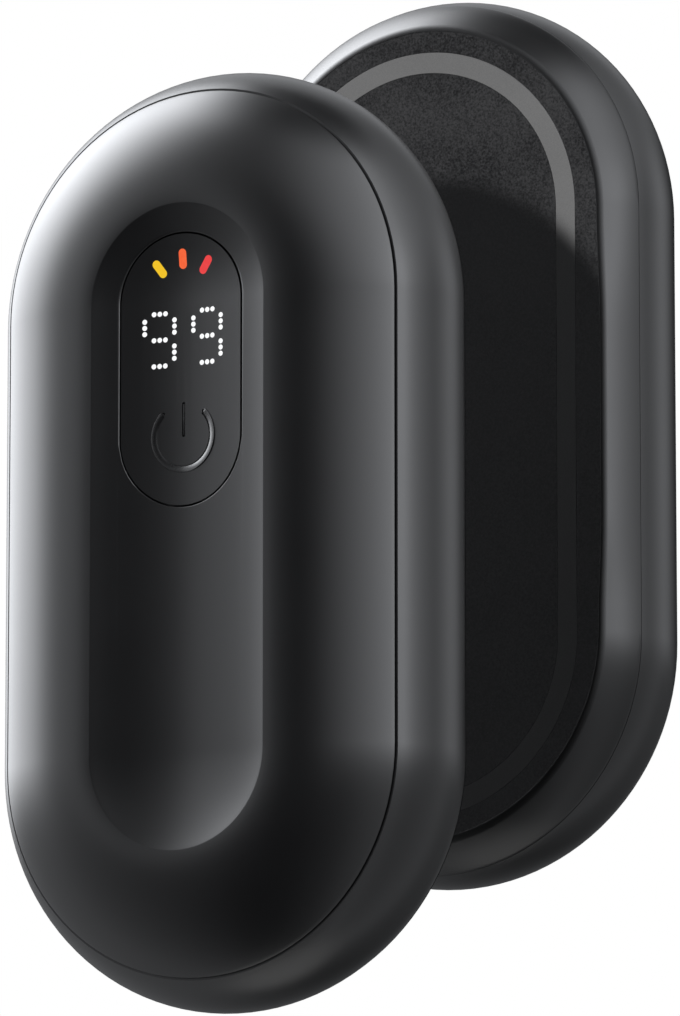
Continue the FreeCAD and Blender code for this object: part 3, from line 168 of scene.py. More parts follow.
def foamed(name, colours, cell, depth, settings):
    """Foam: cells of a size in mm, dark in their pits, over a slow unevenness."""
    material, tree, shader, place = new_finish(name, settings)
    cells = add(tree, "ShaderNodeTexVoronoi", {"Scale": 1 / cell, "Randomness": 0.9}, {"Vector": place})
    crumb = add(tree, "ShaderNodeTexNoise", {"Scale": 2 / cell, "Detail": 2.0}, {"Vector": place})
    slow = add(tree, "ShaderNodeTexNoise", {"Scale": 0.2, "Detail": 2.0}, {"Vector": place})
    lay_pattern(tree, shader, cells.outputs["Distance"], colours, roughness=(0.95, 0.82),
                heights=[(slow.outputs["Fac"], 0.05), (cells.outputs["Distance"], depth),
                         (crumb.outputs["Fac"], depth * 0.3)])
    return material


# Closed-cell EVA foam: matt black with fine pits of 0.35 mm, and a faint sheen from their walls.
tape = foamed("black EVA foam", ("#0d0d0e", "#1f1f21"), cell=0.35, depth=0.04, settings={"Sheen Weight": 0.2})
dress("board_pad", tape)


# ---- Circuit boards ----
# The main board under the key and the small charging board at the top end, both glass epoxy with green solder
# mask. The main board rests on the foam tape, and the charging board hangs from its pins.

# Solder mask over copper: a deep glossy green, lighter where tracks lie under it, with tinned pads 2.54 mm apart
# and the weave of the glass cloth, 0.6 mm a thread, as a faint relief.
board, tree, shader, place = new_finish("green solder mask on glass epoxy",
                                        {"Coat Weight": 0.6, "Coat Roughness": 0.12})
upright = add(tree, "ShaderNodeMapping", {"Rotation": (math.pi / 2, 0, 0)}, {"Vector": place})
tracks = add(tree, "ShaderNodeTexBrick", {"Scale": 1.0, "Brick Width": 5.08, "Row Height": 1.27, "Mortar Size": 0.18,
                                          "Color1": (0, 0, 0, 1), "Color2": (0.15, 0.15, 0.15, 1),
                                          "Mortar": (1, 1, 1, 1)}, {"Vector": upright.outputs["Vector"]})
grid = add(tree, "ShaderNodeTexVoronoi", {"Scale": 1 / 2.54, "Randomness": 0.0, "voronoi_dimensions": "2D"},
           {"Vector": upright.outputs["Vector"]})
pads = add(tree, "ShaderNodeMath", {"operation": "LESS_THAN", 1: 0.16}, {0: grid.outputs["Distance"]})
warp = add(tree, "ShaderNodeTexWave", {"bands_direction": "X", "Scale": 0.52}, {"Vector": place})
weft = add(tree, "ShaderNodeTexWave", {"bands_direction": "Z", "Scale": 0.52}, {"Vector": place})
cloth = add(tree, "ShaderNodeMath", {"operation": "MAXIMUM"}, {0: warp.outputs["Fac"], 1: weft.outputs["Fac"]})
mask = add(tree, "ShaderNodeMix", {"data_type": "RGBA", 6: linear("#0b3d22"), 7: linear("#1c6b3c")},
           {0: tracks.outputs["Color"]})
tinned = add(tree, "ShaderNodeMix", {"data_type": "RGBA", 7: linear("#c9c6bd")},
             {0: pads.outputs["Value"], 6: mask.outputs[2]})
height = add(tree, "ShaderNodeMath", {"operation": "MAXIMUM"}, {0: tracks.outputs["Color"], 1: pads.outputs["Value"]})
raised = add(tree, "ShaderNodeBump", {"Strength": 1.0, "Distance": 0.00003}, {"Height": height.outputs["Value"]})
woven = add(tree, "ShaderNodeBump", {"Strength": 0.4, "Distance": 0.00001},
            {"Height": cloth.outputs["Value"], "Normal": raised.outputs["Normal"]})
sheen = add(tree, "ShaderNodeMapRange", {"To Min": 0.42, "To Max": 0.28}, {"Value": cloth.outputs["Value"]})
tree.links.new(tinned.outputs[2], shader.inputs["Base Color"])
tree.links.new(pads.outputs["Value"], shader.inputs["Metallic"])
tree.links.new(sheen.outputs["Result"], shader.inputs["Roughness"])
tree.links.new(woven.outputs["Normal"], shader.inputs["Normal"])
dress("main_board", board)
dress("charge_board", board)


# ---- Board chips ----
# The charging chip, its choke and a smaller chip on each main board, transfer moulded in epoxy. They are soldered
# to the board's outer side, left and right of the key.

# Epoxy moulding compound: a soft charcoal with the fine sandy grain of its silica filler.
epoxy = moulded("epoxy moulding compound", ("#151517", "#26262a"), grain=0.15, depth=0.004, roughness=(0.42, 0.56))
dress("board_chips", epoxy)


# ---- Board pins ----
# The row of square pins that joins the charging board to the main board, drawn from brass wire and gold plated.
# They are soldered to both boards and hold the small one.

# Gold-plated brass: a warm yellow with drawing lines along each pin.
brass = drawn_metal("gold-plated brass pin", ("#c3923c", "#e0bb6b"), line=0.1, along="y", roughness=(0.16, 0.28))
dress("board_pins", brass)


# ---- Charging sockets ----
# The charging socket at the top end of each half, a seamless shell deep drawn from stainless steel. It is
# soldered to the charging board, and its mouth looks out through the side band.

# Deep-drawn stainless steel: a cool bright grey, scuffed lengthwise where plugs go in.
steel = drawn_metal("deep-drawn stainless steel", ("#8f9194", "#b9bbbe"), line=0.14, along="z",
                    roughness=(0.2, 0.36))
dress("usb_socket", steel)


# ---- Push switches ----
# The sealed push switch under each key, soldered to the main board. Its body is moulded in black PBT, and a hole
# in its top takes the plunger.

# PBT as moulded: black with a slight silk from the polished mould.
polyester = moulded("black PBT moulded", ("#131315", "#212124"), grain=0.3, depth=0.003, roughness=(0.34, 0.46))
dress("power_switch", polyester)


# ---- Display lights ----
# The small light-emitting packages on each main board, one under each stroke of the digits and each heat bar.
# Each is a chip potted in clear silicone with phosphor in it, soldered flat to the board.

# Phosphor in clear silicone: pale yellow, wet-looking and a little cloudy, with a weak glow of its own.
phosphor, tree, shader, place = new_finish("phosphor in silicone", {"Emission Strength": 0.4, "Coat Weight": 0.5})
clouds = add(tree, "ShaderNodeTexNoise", {"Scale": 2.5, "Detail": 3.0}, {"Vector": place})
glow = add(tree, "ShaderNodeMix", {"data_type": "RGBA", 6: linear("#f2e6a8"), 7: linear("#fffbe8")},
           {0: clouds.outputs["Fac"]})
lay_pattern(tree, shader, clouds.outputs["Fac"], ("#e3d793", "#f4edc4"), roughness=(0.25, 0.4),
            heights=[(clouds.outputs["Fac"], 0.02)])
tree.links.new(glow.outputs[2], shader.inputs["Emission Color"])
dress("display_leds", phosphor)


# ---- Light guides ----
# The diffuser between the lights and the light pipes, moulded in opal polycarbonate. Its plate stands on a foot
# on the main board, inside the hollow of the key.

# Opal polycarbonate: milky and waxy, because the light scatters below its skin.
opal = moulded("opal polycarbonate moulded", ("#d9dbde", "#eceef0"), grain=0.4, depth=0.002, roughness=(0.3, 0.42),
               settings={"IOR": 1.58, "Subsurface Weight": 0.3, "Subsurface Scale": 0.001,
                         "Transmission Weight": 0.15})
dress("light_guide", opal)


# ---- Insulation pads ----
# White foam between the heater and the battery tray, cut from sheet with holes for the magnets. It is squeezed
# in place and keeps the heat away from the cell.

# Melamine foam: chalky white with open cells of 0.5 mm.
melamine = foamed("white melamine foam", ("#b9b8b2", "#e6e5e0"), cell=0.5, depth=0.06,
                  settings={"Sheen Weight": 0.1})
dress("insulation_pad", melamine)


# ---- Heat spreaders ----
# The plate that evens out the heat behind each panel, punched from rolled aluminium sheet with holes for the
# magnets. It lies glued to the heater film.

# Rolled aluminium: a bright silky grey with mill lines along the plate.
aluminium = drawn_metal("rolled aluminium sheet", ("#b3b5b8", "#d2d4d6"), line=0.16, along="z",
                        roughness=(0.26, 0.42))
dress("heat_spreader", aluminium)


# ---- Heater films ----
# The flat heater behind each panel, an etched metal track between two sheets of polyimide. It is glued to the
# panel's back all over.

# Polyimide over etched foil: clear amber, with the dull metal track showing through in rows 2.4 mm apart.
film, tree, shader, place = new_finish("polyimide heater film", {"Coat Weight": 0.8, "Coat Roughness": 0.15})
rows = add(tree, "ShaderNodeTexWave", {"bands_direction": "X", "Scale": 0.131, "wave_profile": "SIN"},
           {"Vector": place})
track = add(tree, "ShaderNodeMapRange", {"From Min": 0.42, "From Max": 0.5}, {"Value": rows.outputs["Fac"]})
bubbles = add(tree, "ShaderNodeTexNoise", {"Scale": 0.6, "Detail": 3.0}, {"Vector": place})
amber = add(tree, "ShaderNodeMix", {"data_type": "RGBA", 6: linear("#a85a12"), 7: linear("#c47a26")},
            {0: bubbles.outputs["Fac"]})
seen = add(tree, "ShaderNodeMix", {"data_type": "RGBA", 7: linear("#8d7458")},
           {0: track.outputs["Result"], 6: amber.outputs[2]})
dull = add(tree, "ShaderNodeMapRange", {"To Min": 0.24, "To Max": 0.42}, {"Value": bubbles.outputs["Fac"]})
ridge = add(tree, "ShaderNodeBump", {"Strength": 1.0, "Distance": 0.00003}, {"Height": track.outputs["Result"]})
tree.links.new(seen.outputs[2], shader.inputs["Base Color"])
tree.links.new(track.outputs["Result"], shader.inputs["Metallic"])
tree.links.new(dull.outputs["Result"], shader.inputs["Roughness"])
tree.links.new(ridge.outputs["Normal"], shader.inputs["Normal"])
dress("heater_film", film)


# ---- Temperature sensors ----
# The thermistor bead that lies on each heat spreader and reads its heat. It is dipped in glass and held by a dab
# of glue.

# Dipped glass: a small drop of dark amber, clear at its skin and cloudy in its core.
bead, tree, shader, place = new_finish("dipped glass bead", {"IOR": 1.52, "Transmission Weight": 0.5})
core = add(tree, "ShaderNodeTexNoise", {"Scale": 1.6, "Detail": 3.0}, {"Vector": place})
lay_pattern(tree, shader, core.outputs["Fac"], ("#3b1708", "#84431b"), roughness=(0.05, 0.16),
            heights=[(core.outputs["Fac"], 0.02)])
dress("temperature_sensor", bead)


# ---- Magnets ----
# Four discs of sintered magnet in each half, nickel plated and set in the holes of spreader and foam. They pull
# the two halves together face to face.

# Barrel-plated nickel: a warm mirror that is slightly pebbled, with fine handling marks.
plating, tree, shader, place = new_finish("barrel-plated nickel", {"Metallic": 1.0})
pebbles = add(tree, "ShaderNodeTexNoise", {"Scale": 2.2, "Detail": 2.0}, {"Vector": place})
marks = add(tree, "ShaderNodeTexNoise", {"Scale": 7.0, "Detail": 5.0, "Distortion": 1.5}, {"Vector": place})
lay_pattern(tree, shader, marks.outputs["Fac"], ("#b3aca0", "#d1cbc0"), roughness=(0.12, 0.28),
            heights=[(pebbles.outputs["Fac"], 0.01), (marks.outputs["Fac"], 0.001)])
dress("magnets", plating)


# ---- Face covers ----
# The rolled rim round the flat side, moulded in black ABS. It plugs into the band with a tongue and carries the
# panel on a seat. A half is drawn with its dome towards -Y: a depth d above the flat side is y = -d, and the
# middles of its two round ends are SPINE up and down.
SPINE = 0.0235
END_STEPS = 56
FRONT_PLACE = (0, -0.0522, -0.0176)
REAR_PLACE = (0, -0.0186, 0)
SAME_POINT = 0.000002


def arc(middle, radius, start, end, steps):
    """Section points (x, depth) on an arc, with angles in degrees from +x towards the dome side."""
    turned = [math.radians(start + (end - start) * step / steps) for step in range(steps + 1)]
    return [(middle[0] + radius * math.cos(a), middle[1] + radius * math.sin(a)) for a in turned]


def select_only(piece):
    """Selects one piece and makes it the active one."""
    bpy.ops.object.select_all(action="DESELECT")
    piece.select_set(True)
    bpy.context.view_layer.objects.active = piece


def draw_line(name, points):
    """A new piece, left in edit mode and selected, that is one line of edges drawn from point to point."""
    bpy.ops.object.select_all(action="DESELECT")
    bpy.ops.mesh.primitive_plane_add(size=0.001, location=points[0])
    bpy.ops.object.transform_apply()
    piece = bpy.context.object
    piece.name = name
    piece.data.name = name
    bpy.ops.object.mode_set(mode="EDIT")
    bpy.ops.mesh.select_mode(type="VERT")
    bpy.ops.mesh.merge(type="CENTER")
    for here, there in zip(points, points[1:]):
        pull(Vector(there) - Vector(here))
    bpy.ops.mesh.select_all(action="SELECT")
    return piece


def pull(step):
    """Extrudes what is selected by a step."""
    bpy.ops.mesh.extrude_region_move(TRANSFORM_OT_translate={"value": step})


def sweep_round(levels):
    """Takes the selected section up one side, round the top end, down the other side and round the lower end."""
    for low, high in zip(levels, levels[1:]):
        pull((0, 0, high - low))
    bpy.ops.mesh.spin(steps=END_STEPS, angle=math.pi, center=(0, 0, levels[-1]), axis=(0, 1, 0))
    for low, high in zip(levels[:0:-1], levels[-2::-1]):
        pull((0, 0, high - low))
    bpy.ops.mesh.spin(steps=END_STEPS, angle=math.pi, center=(0, 0, levels[0]), axis=(0, 1, 0))


def close_mesh():
    """Merges doubles, turns all faces outwards and leaves edit mode."""
    bpy.ops.mesh.select_all(action="SELECT")
    bpy.ops.mesh.remove_doubles(threshold=SAME_POINT)
    bpy.ops.mesh.normals_make_consistent(inside=False)
    bpy.ops.object.mode_set(mode="OBJECT")


def soften(piece, width):
    """Rounds the sharp edges of a piece by a width and shades it."""
    bevel = piece.modifiers.new("soft edges", "BEVEL")
    bevel.width = width
    bevel.segments = 2
    bevel.limit_method = "ANGLE"
    bevel.angle_limit = math.radians(50)
    bpy.ops.object.modifier_apply(modifier=bevel.name)
    shade_even(piece, angle=40)


def shade_even(piece, angle):
    """Shades a piece smooth up to an angle in degrees, with normals that follow its larger faces."""
    bpy.ops.object.shade_smooth_by_angle(angle=math.radians(angle))
    weighted = piece.modifiers.new("even shading", "WEIGHTED_NORMAL")
    weighted.keep_sharp = True
    bpy.ops.object.modifier_apply(modifier=weighted.name)


def pair(front):
    """Copies a front piece for the rear half, and moves both from the drawing place to where they stand."""
    select_only(front)
    bpy.ops.object.duplicate(linked=False)
    rear = bpy.context.object
    rear.name = front.name.replace("front", "rear")
    rear.data.name = rear.name
    for piece, place, turn in ((front, FRONT_PLACE, 0), (rear, REAR_PLACE, math.pi)):
        select_only(piece)
        bpy.ops.object.mode_set(mode="EDIT")
        bpy.ops.mesh.select_all(action="SELECT")
        if turn:
            bpy.ops.transform.rotate(value=turn, orient_axis="Z", center_override=(0, 0, 0))
        bpy.ops.transform.translate(value=place)
        bpy.ops.object.mode_set(mode="OBJECT")
        piece.select_set(False)
    return front, rear


def stand_for(pieces, node, material, body="half"):
    """Each half's piece gets its finish, rides on its half's body and stands for the CAD node of that name."""
    for half, piece in zip(("front_", "rear_"), pieces):
        piece.data.materials.clear()
        piece.data.materials.append(material)
        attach(piece, half + body)
        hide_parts(half + node)


# From the land over its round corner and the rolled side down to the seam, then the tongue and the panel's seat.
LAND_INSIDE = 0.02224
CORNER_MIDDLE, CORNER_RADIUS = (0.022269, 0.0009), 0.0009
ROLL_MIDDLE, ROLL_RADIUS = (0.008812, 0.011451), 0.018
cover_section = [(LAND_INSIDE, 0.0)] + arc(CORNER_MIDDLE, CORNER_RADIUS, -90, -38.1, steps=8)
cover_section += arc(ROLL_MIDDLE, ROLL_RADIUS, -38.1, -25.93, steps=12)[1:]
cover_section += [(0.0241, 0.00358), (0.0241, 0.0037), (0.0229, 0.0037), (0.0229, 0.0052), (0.0220, 0.0052),
                  (0.0220, 0.00245), (0.0196, 0.00245), (0.0196, 0.00125), (LAND_INSIDE, 0.00125),
                  (LAND_INSIDE, 0.0)]
front_cover = draw_line("front_cover", [(x, -d, -SPINE) for x, d in cover_section])

# Heights of the section's stops along a straight side, closer together where the edge is drawn in.
SIDE_LEVELS = [-SPINE, -0.0205, -0.0178, -0.0152, -0.0125, -0.01, 0.01, 0.0125, 0.0152, 0.0178, 0.0205, SPINE]
sweep_round(SIDE_LEVELS)
close_mesh()


# The flat side's outline is a little slimmer than the racetrack: the edge lies further in all along, more towards
# the ends, and most where the straight sides turn into them. Only what lies further out than DRAWN_FROM moves, and
# the move has faded out at DRAWN_DEPTH.
DRAWN_FROM = 0.0221
DRAWN_DEPTH = 0.0036
SHOULDER_LOW = 0.01
IN_ALL_ALONG, IN_TO_THE_ENDS, IN_ROUND_THE_ENDS, IN_AT_THE_TURN = 0.00025, 0.0004, 0.0001, 0.00022


def eased(value, start, end):
    """How far a value has come from start to end, from 0 to 1, leaving and arriving gently."""
    share = min(1, max(0, (value - start) / (end - start)))
    return share * share * (3 - 2 * share)


def draw_in(piece):
    """Moves the edge of the flat side inwards, point by point, because no operator fades the move to the seam."""
    for corner in piece.data.vertices:
        x, y, z = corner.co
        out = Vector((x, 0, z - math.copysign(min(abs(z), SPINE), z)))
        if out.length > DRAWN_FROM and y > -DRAWN_DEPTH:
            turn = math.atan2(abs(out.z), abs(x))
            step = IN_ALL_ALONG + IN_TO_THE_ENDS * eased(abs(z), SHOULDER_LOW, SPINE)
            step += IN_ROUND_THE_ENDS * turn + IN_AT_THE_TURN * math.sin(2 * turn)
            corner.co -= out.normalized() * step * (1 + y / DRAWN_DEPTH) ** 1.4


draw_in(front_cover)
soften(front_cover, width=0.00001)

# Satin ABS, moulded in a fine eroded mould and left bare: black with a soft, slightly broken gloss. The coat
# stands for the resin-rich skin, which mirrors more clearly than the grain below it.
SATIN = {"Coat Weight": 1.0, "Coat Roughness": 0.24, "Coat IOR": 1.5}
cover_abs = moulded("black ABS satin cover", ("#0a0a0b", "#0f0f10"), grain=0.16, depth=0.0014,
                    roughness=(0.32, 0.38), settings={**SATIN, "Coat IOR": 1.4})
stand_for(pair(front_cover), "face_cover", cover_abs)


# ---- Face panels ----
# The flat heated panel, moulded in charcoal polycarbonate with an eroded grain, glued into the cover with its
# edge tight against the land. A shallow channel holds the grey ring.
FACE = 0.00003
PANEL_EDGE = 0.02222
PANEL_BACK = 0.00125
CHANNEL_FROM, CHANNEL_TO = 0.01667, 0.01903
CHANNEL_FLOOR = 0.00065
panel_section = [(CHANNEL_FROM, FACE), (CHANNEL_FROM, CHANNEL_FLOOR), (CHANNEL_TO, CHANNEL_FLOOR), (CHANNEL_TO, FACE),
                 (PANEL_EDGE, FACE), (PANEL_EDGE, PANEL_BACK)]
front_panel = draw_line("front_panel", [(x, -d, -SPINE) for x, d in panel_section])
sweep_round(SIDE_LEVELS)
bpy.ops.mesh.select_all(action="SELECT")
bpy.ops.mesh.remove_doubles(threshold=SAME_POINT)


def select_open_edges():
    """Selects the edges that have a face on one side only."""
    bpy.ops.mesh.select_all(action="DESELECT")
    bpy.ops.mesh.select_non_manifold(extend=False, use_multi_face=False, use_non_contiguous=False, use_verts=False)


# One face fills the middle of the front, and one the whole back.
select_open_edges()
bpy.ops.mesh.edge_face_add()
close_mesh()
draw_in(front_panel)
soften(front_panel, width=0.00001)

# Eroded polycarbonate: a matt charcoal with a fine speckle, drawn 0.22 mm wide so that it shows.
panel_grain = moulded("charcoal eroded polycarbonate", ("#050506", "#3c3c3d"), grain=0.22, depth=0.014,
                      roughness=(0.56, 0.7), settings={"Specular IOR Level": 0.24})
stand_for(pair(front_panel), "face_panel", panel_grain)


# ---- Face rings ----
# The grey racetrack inlaid in each panel, die-cut from polyester film that is printed grey. It is stuck into its
# channel, flush with the panel.
RING_FROM, RING_TO = 0.0167, 0.0190
ring_section = [(RING_FROM, FACE), (RING_TO, FACE), (RING_TO, CHANNEL_FLOOR), (RING_FROM, CHANNEL_FLOOR),
                (RING_FROM, FACE)]
front_ring = draw_line("front_ring", [(x, -d, -SPINE) for x, d in ring_section])
sweep_round([-SPINE, SPINE])
close_mesh()
soften(front_ring, width=0.00001)

# Grey pad-printing ink: an even, flat grey that hardly mirrors, with a trace of the film's tooth.
ring_ink = moulded("grey pad-printing ink", ("#6a6a6a", "#757575"), grain=0.12, depth=0.002,
                   roughness=(0.57, 0.63), settings={"Specular IOR Level": 0.24})
stand_for(pair(front_ring), "face_ring", ring_ink)


# ---- Side bands ----
# The rounded belt round the middle of each half, moulded in the same black ABS. It steps in under the dome
# shell, which leaves a thin shadow seam, and the charging socket's mouth is cut through its top end.
WIDEST = 0.008
DOME_SIDE_MIDDLE, DOME_SIDE_RADIUS = (0.015843, WIDEST), 0.010157
FACE_SIDE_MIDDLE, FACE_SIDE_RADIUS = (0.016255, WIDEST), 0.009745
band_section = arc(DOME_SIDE_MIDDLE, DOME_SIDE_RADIUS, 43.73, 0, steps=16)
band_section += arc(FACE_SIDE_MIDDLE, FACE_SIDE_RADIUS, 0, -26.19, steps=10)[1:]
band_section += [(0.02317, 0.0037), (0.0240, 0.0058), (0.0244, 0.0080), (0.0239, 0.0105), (0.0225, 0.0132),
                 (0.02045, 0.0152), (0.0221, 0.0152), (0.0221, 0.01502), band_section[0]]
front_band = draw_line("front_band", [(x, -d, -SPINE) for x, d in band_section])
sweep_round([-SPINE, SPINE])
close_mesh()

# The mouth is a lying racetrack, cut straight down through the end wall.
MOUTH_SPREAD = 0.00289
MOUTH_RADIUS = 0.00178
MOUTH_LOW, MOUTH_REACH = 0.044, 0.008
mouth = arc((MOUTH_SPREAD, WIDEST), MOUTH_RADIUS, -90, 90, steps=16)
mouth += arc((-MOUTH_SPREAD, WIDEST), MOUTH_RADIUS, 90, 270, steps=16)
mouth.append(mouth[0])
cutter = draw_line("mouth_cutter", [(x, -d, MOUTH_LOW) for x, d in mouth])
bpy.ops.mesh.remove_doubles(threshold=SAME_POINT)
bpy.ops.mesh.edge_face_add()
pull((0, 0, MOUTH_REACH))
close_mesh()


def cut_away(piece, cutter):
    """Cuts one closed piece out of another and takes the cutter away."""
    select_only(piece)
    cut = piece.modifiers.new("cut", "BOOLEAN")
    cut.operation = "DIFFERENCE"
    cut.solver = "EXACT"
    cut.object = cutter
    bpy.ops.object.modifier_apply(modifier=cut.name)
    bpy.data.objects.remove(cutter)


cut_away(front_band, cutter)
soften(front_band, width=0.00010)

# Satin ABS like the cover's, from a mould of the same grain.
band_abs = moulded("black ABS eroded band", ("#0a0a0b", "#0f0f10"), grain=0.16, depth=0.0014,
                   roughness=(0.32, 0.38), settings=SATIN)
stand_for(pair(front_band), "side_band", band_abs)


# ---- Dome shells ----
# The big outer moulding of each half, black ABS from a fine eroded mould. It is a flattened pebble with a long
# dished groove for the finger and a pill-shaped opening in the groove, where the key looks out.
GROOVE_FLOOR, GROOVE_RADIUS = 0.0186, 0.03577
UNDER_FLOOR, UNDER_FLOOR_RADIUS = 0.0170, 0.04145
OPENING_RADIUS = 0.00727
KEY_LOW = 0.0093


def sagging(x, floor, radius):
    """Depth of a dished floor at x from its middle."""
    return floor + radius - math.sqrt(radius ** 2 - x ** 2)


def floor_strip(name, floor, radius, steps=24):
    """The dished floor below the opening: its upper end is the opening's half circle, its lower end is round."""
    turned = [math.pi * step / steps for step in range(steps + 1)]
    points = [(OPENING_RADIUS * math.cos(a), -sagging(OPENING_RADIUS * math.cos(a), floor, radius),
               KEY_LOW - OPENING_RADIUS * math.sin(a)) for a in turned]
    strip = draw_line(name, points)
    pull((0, 0, -SPINE))
    bpy.ops.transform.resize(value=(1, 1, 0), center_override=(0, 0, -SPINE))
    bpy.ops.object.mode_set(mode="OBJECT")
    end = draw_line(name + "_end", [(x, y, -SPINE) for x, y, z in points[:steps // 2 + 1]])
    bpy.ops.mesh.spin(steps=END_STEPS, angle=-math.pi, center=(0, 0, -SPINE), axis=(0, 1, 0))
    bpy.ops.object.mode_set(mode="OBJECT")
    return [strip, end]


# From the opening out over the groove's floor, its crisp rim of 0.3 mm radius and the dome down to the seam's
# land, then back inside along the shell's wall.
GROOVE_EDGE = 0.010215
RIM_MIDDLE, RIM_RADIUS = (0.010301, 0.019802), 0.0003
CROWN_MIDDLE, CROWN_RADIUS = (0.01105, 0.003152), 0.016967
WALL_MIDDLE, WALL_RADIUS = (0.01105, 0.002447), 0.01605
dome_section = []
for step in range(9):
    x = OPENING_RADIUS + (GROOVE_EDGE - OPENING_RADIUS) * step / 9
    dome_section.append((x, sagging(x, GROOVE_FLOOR, GROOVE_RADIUS)))
dome_section += arc(RIM_MIDDLE, RIM_RADIUS, 106.65, 92.7, steps=4)
dome_section += arc(CROWN_MIDDLE, CROWN_RADIUS, 92.58, 45.24, steps=28)[1:]
dome_section.append((0.0208, 0.0152))
dome_section += arc(WALL_MIDDLE, WALL_RADIUS, 52.59, 90, steps=12)[1:]
for step in range(1, 5):
    x = WALL_MIDDLE[0] + (OPENING_RADIUS - WALL_MIDDLE[0]) * step / 4
    dome_section.append((x, sagging(x, UNDER_FLOOR, UNDER_FLOOR_RADIUS)))
front_dome = draw_line("front_dome", [(x, -d, -SPINE) for x, d in dome_section])
sweep_round([-SPINE, KEY_LOW, SPINE])
bpy.ops.object.mode_set(mode="OBJECT")

# The floor below the opening and its underside are drawn apart and joined on, and the wall round the opening is
# bridged between them.
floors = floor_strip("dome_floor", GROOVE_FLOOR, GROOVE_RADIUS)
floors += floor_strip("dome_floor_under", UNDER_FLOOR, UNDER_FLOOR_RADIUS)
bpy.ops.object.select_all(action="DESELECT")
for part in floors + [front_dome]:
    part.select_set(True)
bpy.context.view_layer.objects.active = front_dome
bpy.ops.object.join()
bpy.ops.object.mode_set(mode="EDIT")
bpy.ops.mesh.select_all(action="SELECT")
bpy.ops.mesh.remove_doubles(threshold=SAME_POINT)
select_open_edges()
bpy.ops.mesh.bridge_edge_loops()
close_mesh()
soften(front_dome, width=0.00014)

# Satin ABS from a mould with a shallower grain: a touch darker and clearer than the band.
dome_abs = moulded("black ABS fine eroded dome", ("#080809", "#0c0c0d"), grain=0.18, depth=0.0012,
                   roughness=(0.31, 0.35), settings=SATIN)
stand_for(pair(front_dome), "dome_shell", dome_abs)


# ---- Power keys ----
# The pill-shaped key in the groove, moulded in black ABS with holes for the light pipes and a channel for the
# power symbol. It slides in the dome's opening and its flange keeps it in. The CAD key is copied, its symbol's
# channel is cut a little wider, and it is shaded afresh.
SYMBOL_MIDDLE = (0, 0, 0.0094)
SYMBOL_TURN = [math.radians(134 + 272 * step / 68) for step in range(69)]
CUT_OUTSIDE, CUT_INSIDE = 0.0038, 0.00309
CUT_TOP, CUT_DEPTH = 0.0192, 0.00098


def symbol_channel(place, turn):
    """A closed C-shaped cutter for the power symbol's ring."""
    outside = [(CUT_OUTSIDE * math.cos(a), -CUT_TOP, SYMBOL_MIDDLE[2] + CUT_OUTSIDE * math.sin(a))
               for a in SYMBOL_TURN]
    cutter = draw_line("channel_cutter", outside)
    pull((0, 0, 0))
    inwards = CUT_INSIDE / CUT_OUTSIDE
    bpy.ops.transform.resize(value=(inwards, 1, inwards), center_override=SYMBOL_MIDDLE)
    bpy.ops.mesh.select_all(action="SELECT")
    pull((0, CUT_DEPTH, 0))
    bpy.ops.mesh.select_all(action="SELECT")
    if turn:
        bpy.ops.transform.rotate(value=turn, orient_axis="Z", center_override=(0, 0, 0))
    bpy.ops.transform.translate(value=place)
    close_mesh()
    return cutter


keys = []
for half, place, turn in (("front", FRONT_PLACE, 0), ("rear", REAR_PLACE, math.pi)):
    key = bpy.data.objects.new(half + "_key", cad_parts[half + "_power_key"].data.copy())
    key.data.name = key.name
    bpy.context.scene.collection.objects.link(key)
    select_only(key)
    bpy.ops.mesh.customdata_custom_splitnormals_clear()
    bpy.ops.object.mode_set(mode="EDIT")
    close_mesh()
    cut_away(key, symbol_channel(place, turn))
    shade_even(key, angle=30)
    keys.append(key)

# The dome's own satin ABS, so that the key looks like a piece of the groove.
key_abs = moulded("black ABS fine eroded key", ("#080809", "#0c0c0d"), grain=0.18, depth=0.0012,
                  roughness=(0.31, 0.35), settings=SATIN)
stand_for(keys, "power_key", key_abs, "button")


# ---- Power symbols ----
# The symbol in each key, a ring with a gap and an upright bar, moulded in the key's own black ABS. The ring's
# top slopes to its middle, steeply only on its right, so that one side catches the light and the other stays dark.
RING_OUTSIDE, RING_INSIDE = 0.00378, 0.00311
RING_HEIGHT = 0.0003
SINK_ALL_ROUND, SINK_AT_TIP, SLOPE, STEEPER = 0.00001, 0.00006, 0.00006, 0.00014


def ring_edge(radius, inner):
    """Points of the ring's outer (0) or inner (1) edge, from its left end round below to its right end."""
    points = []
    for a in SYMBOL_TURN:
        # In degrees from +x, 270 is the lowest point of the ring and 406 its right tip.
        steep = eased(math.degrees(a), 265, 305)
        tip = eased(math.degrees(a), 365, 406)
        sunk = SINK_AT_TIP * tip - STEEPER * steep + SINK_ALL_ROUND * (1 - steep)
        sunk += inner * (SLOPE + STEEPER * steep)
        points.append((radius * math.cos(a), sunk - sagging(radius * math.cos(a), GROOVE_FLOOR, GROOVE_RADIUS),
                       SYMBOL_MIDDLE[2] + radius * math.sin(a)))
    return points


inner_edge = draw_line("symbol_inner_edge", ring_edge(RING_INSIDE, 1))
bpy.ops.object.mode_set(mode="OBJECT")
front_symbol = draw_line("front_symbol", ring_edge(RING_OUTSIDE, 0))
bpy.ops.object.mode_set(mode="OBJECT")
inner_edge.select_set(True)
bpy.ops.object.join()
bpy.ops.object.mode_set(mode="EDIT")
bpy.ops.mesh.select_all(action="SELECT")
bpy.ops.mesh.bridge_edge_loops()
bpy.ops.mesh.select_all(action="SELECT")
pull((0, RING_HEIGHT, 0))
close_mesh()
soften(front_symbol, width=0.000015)

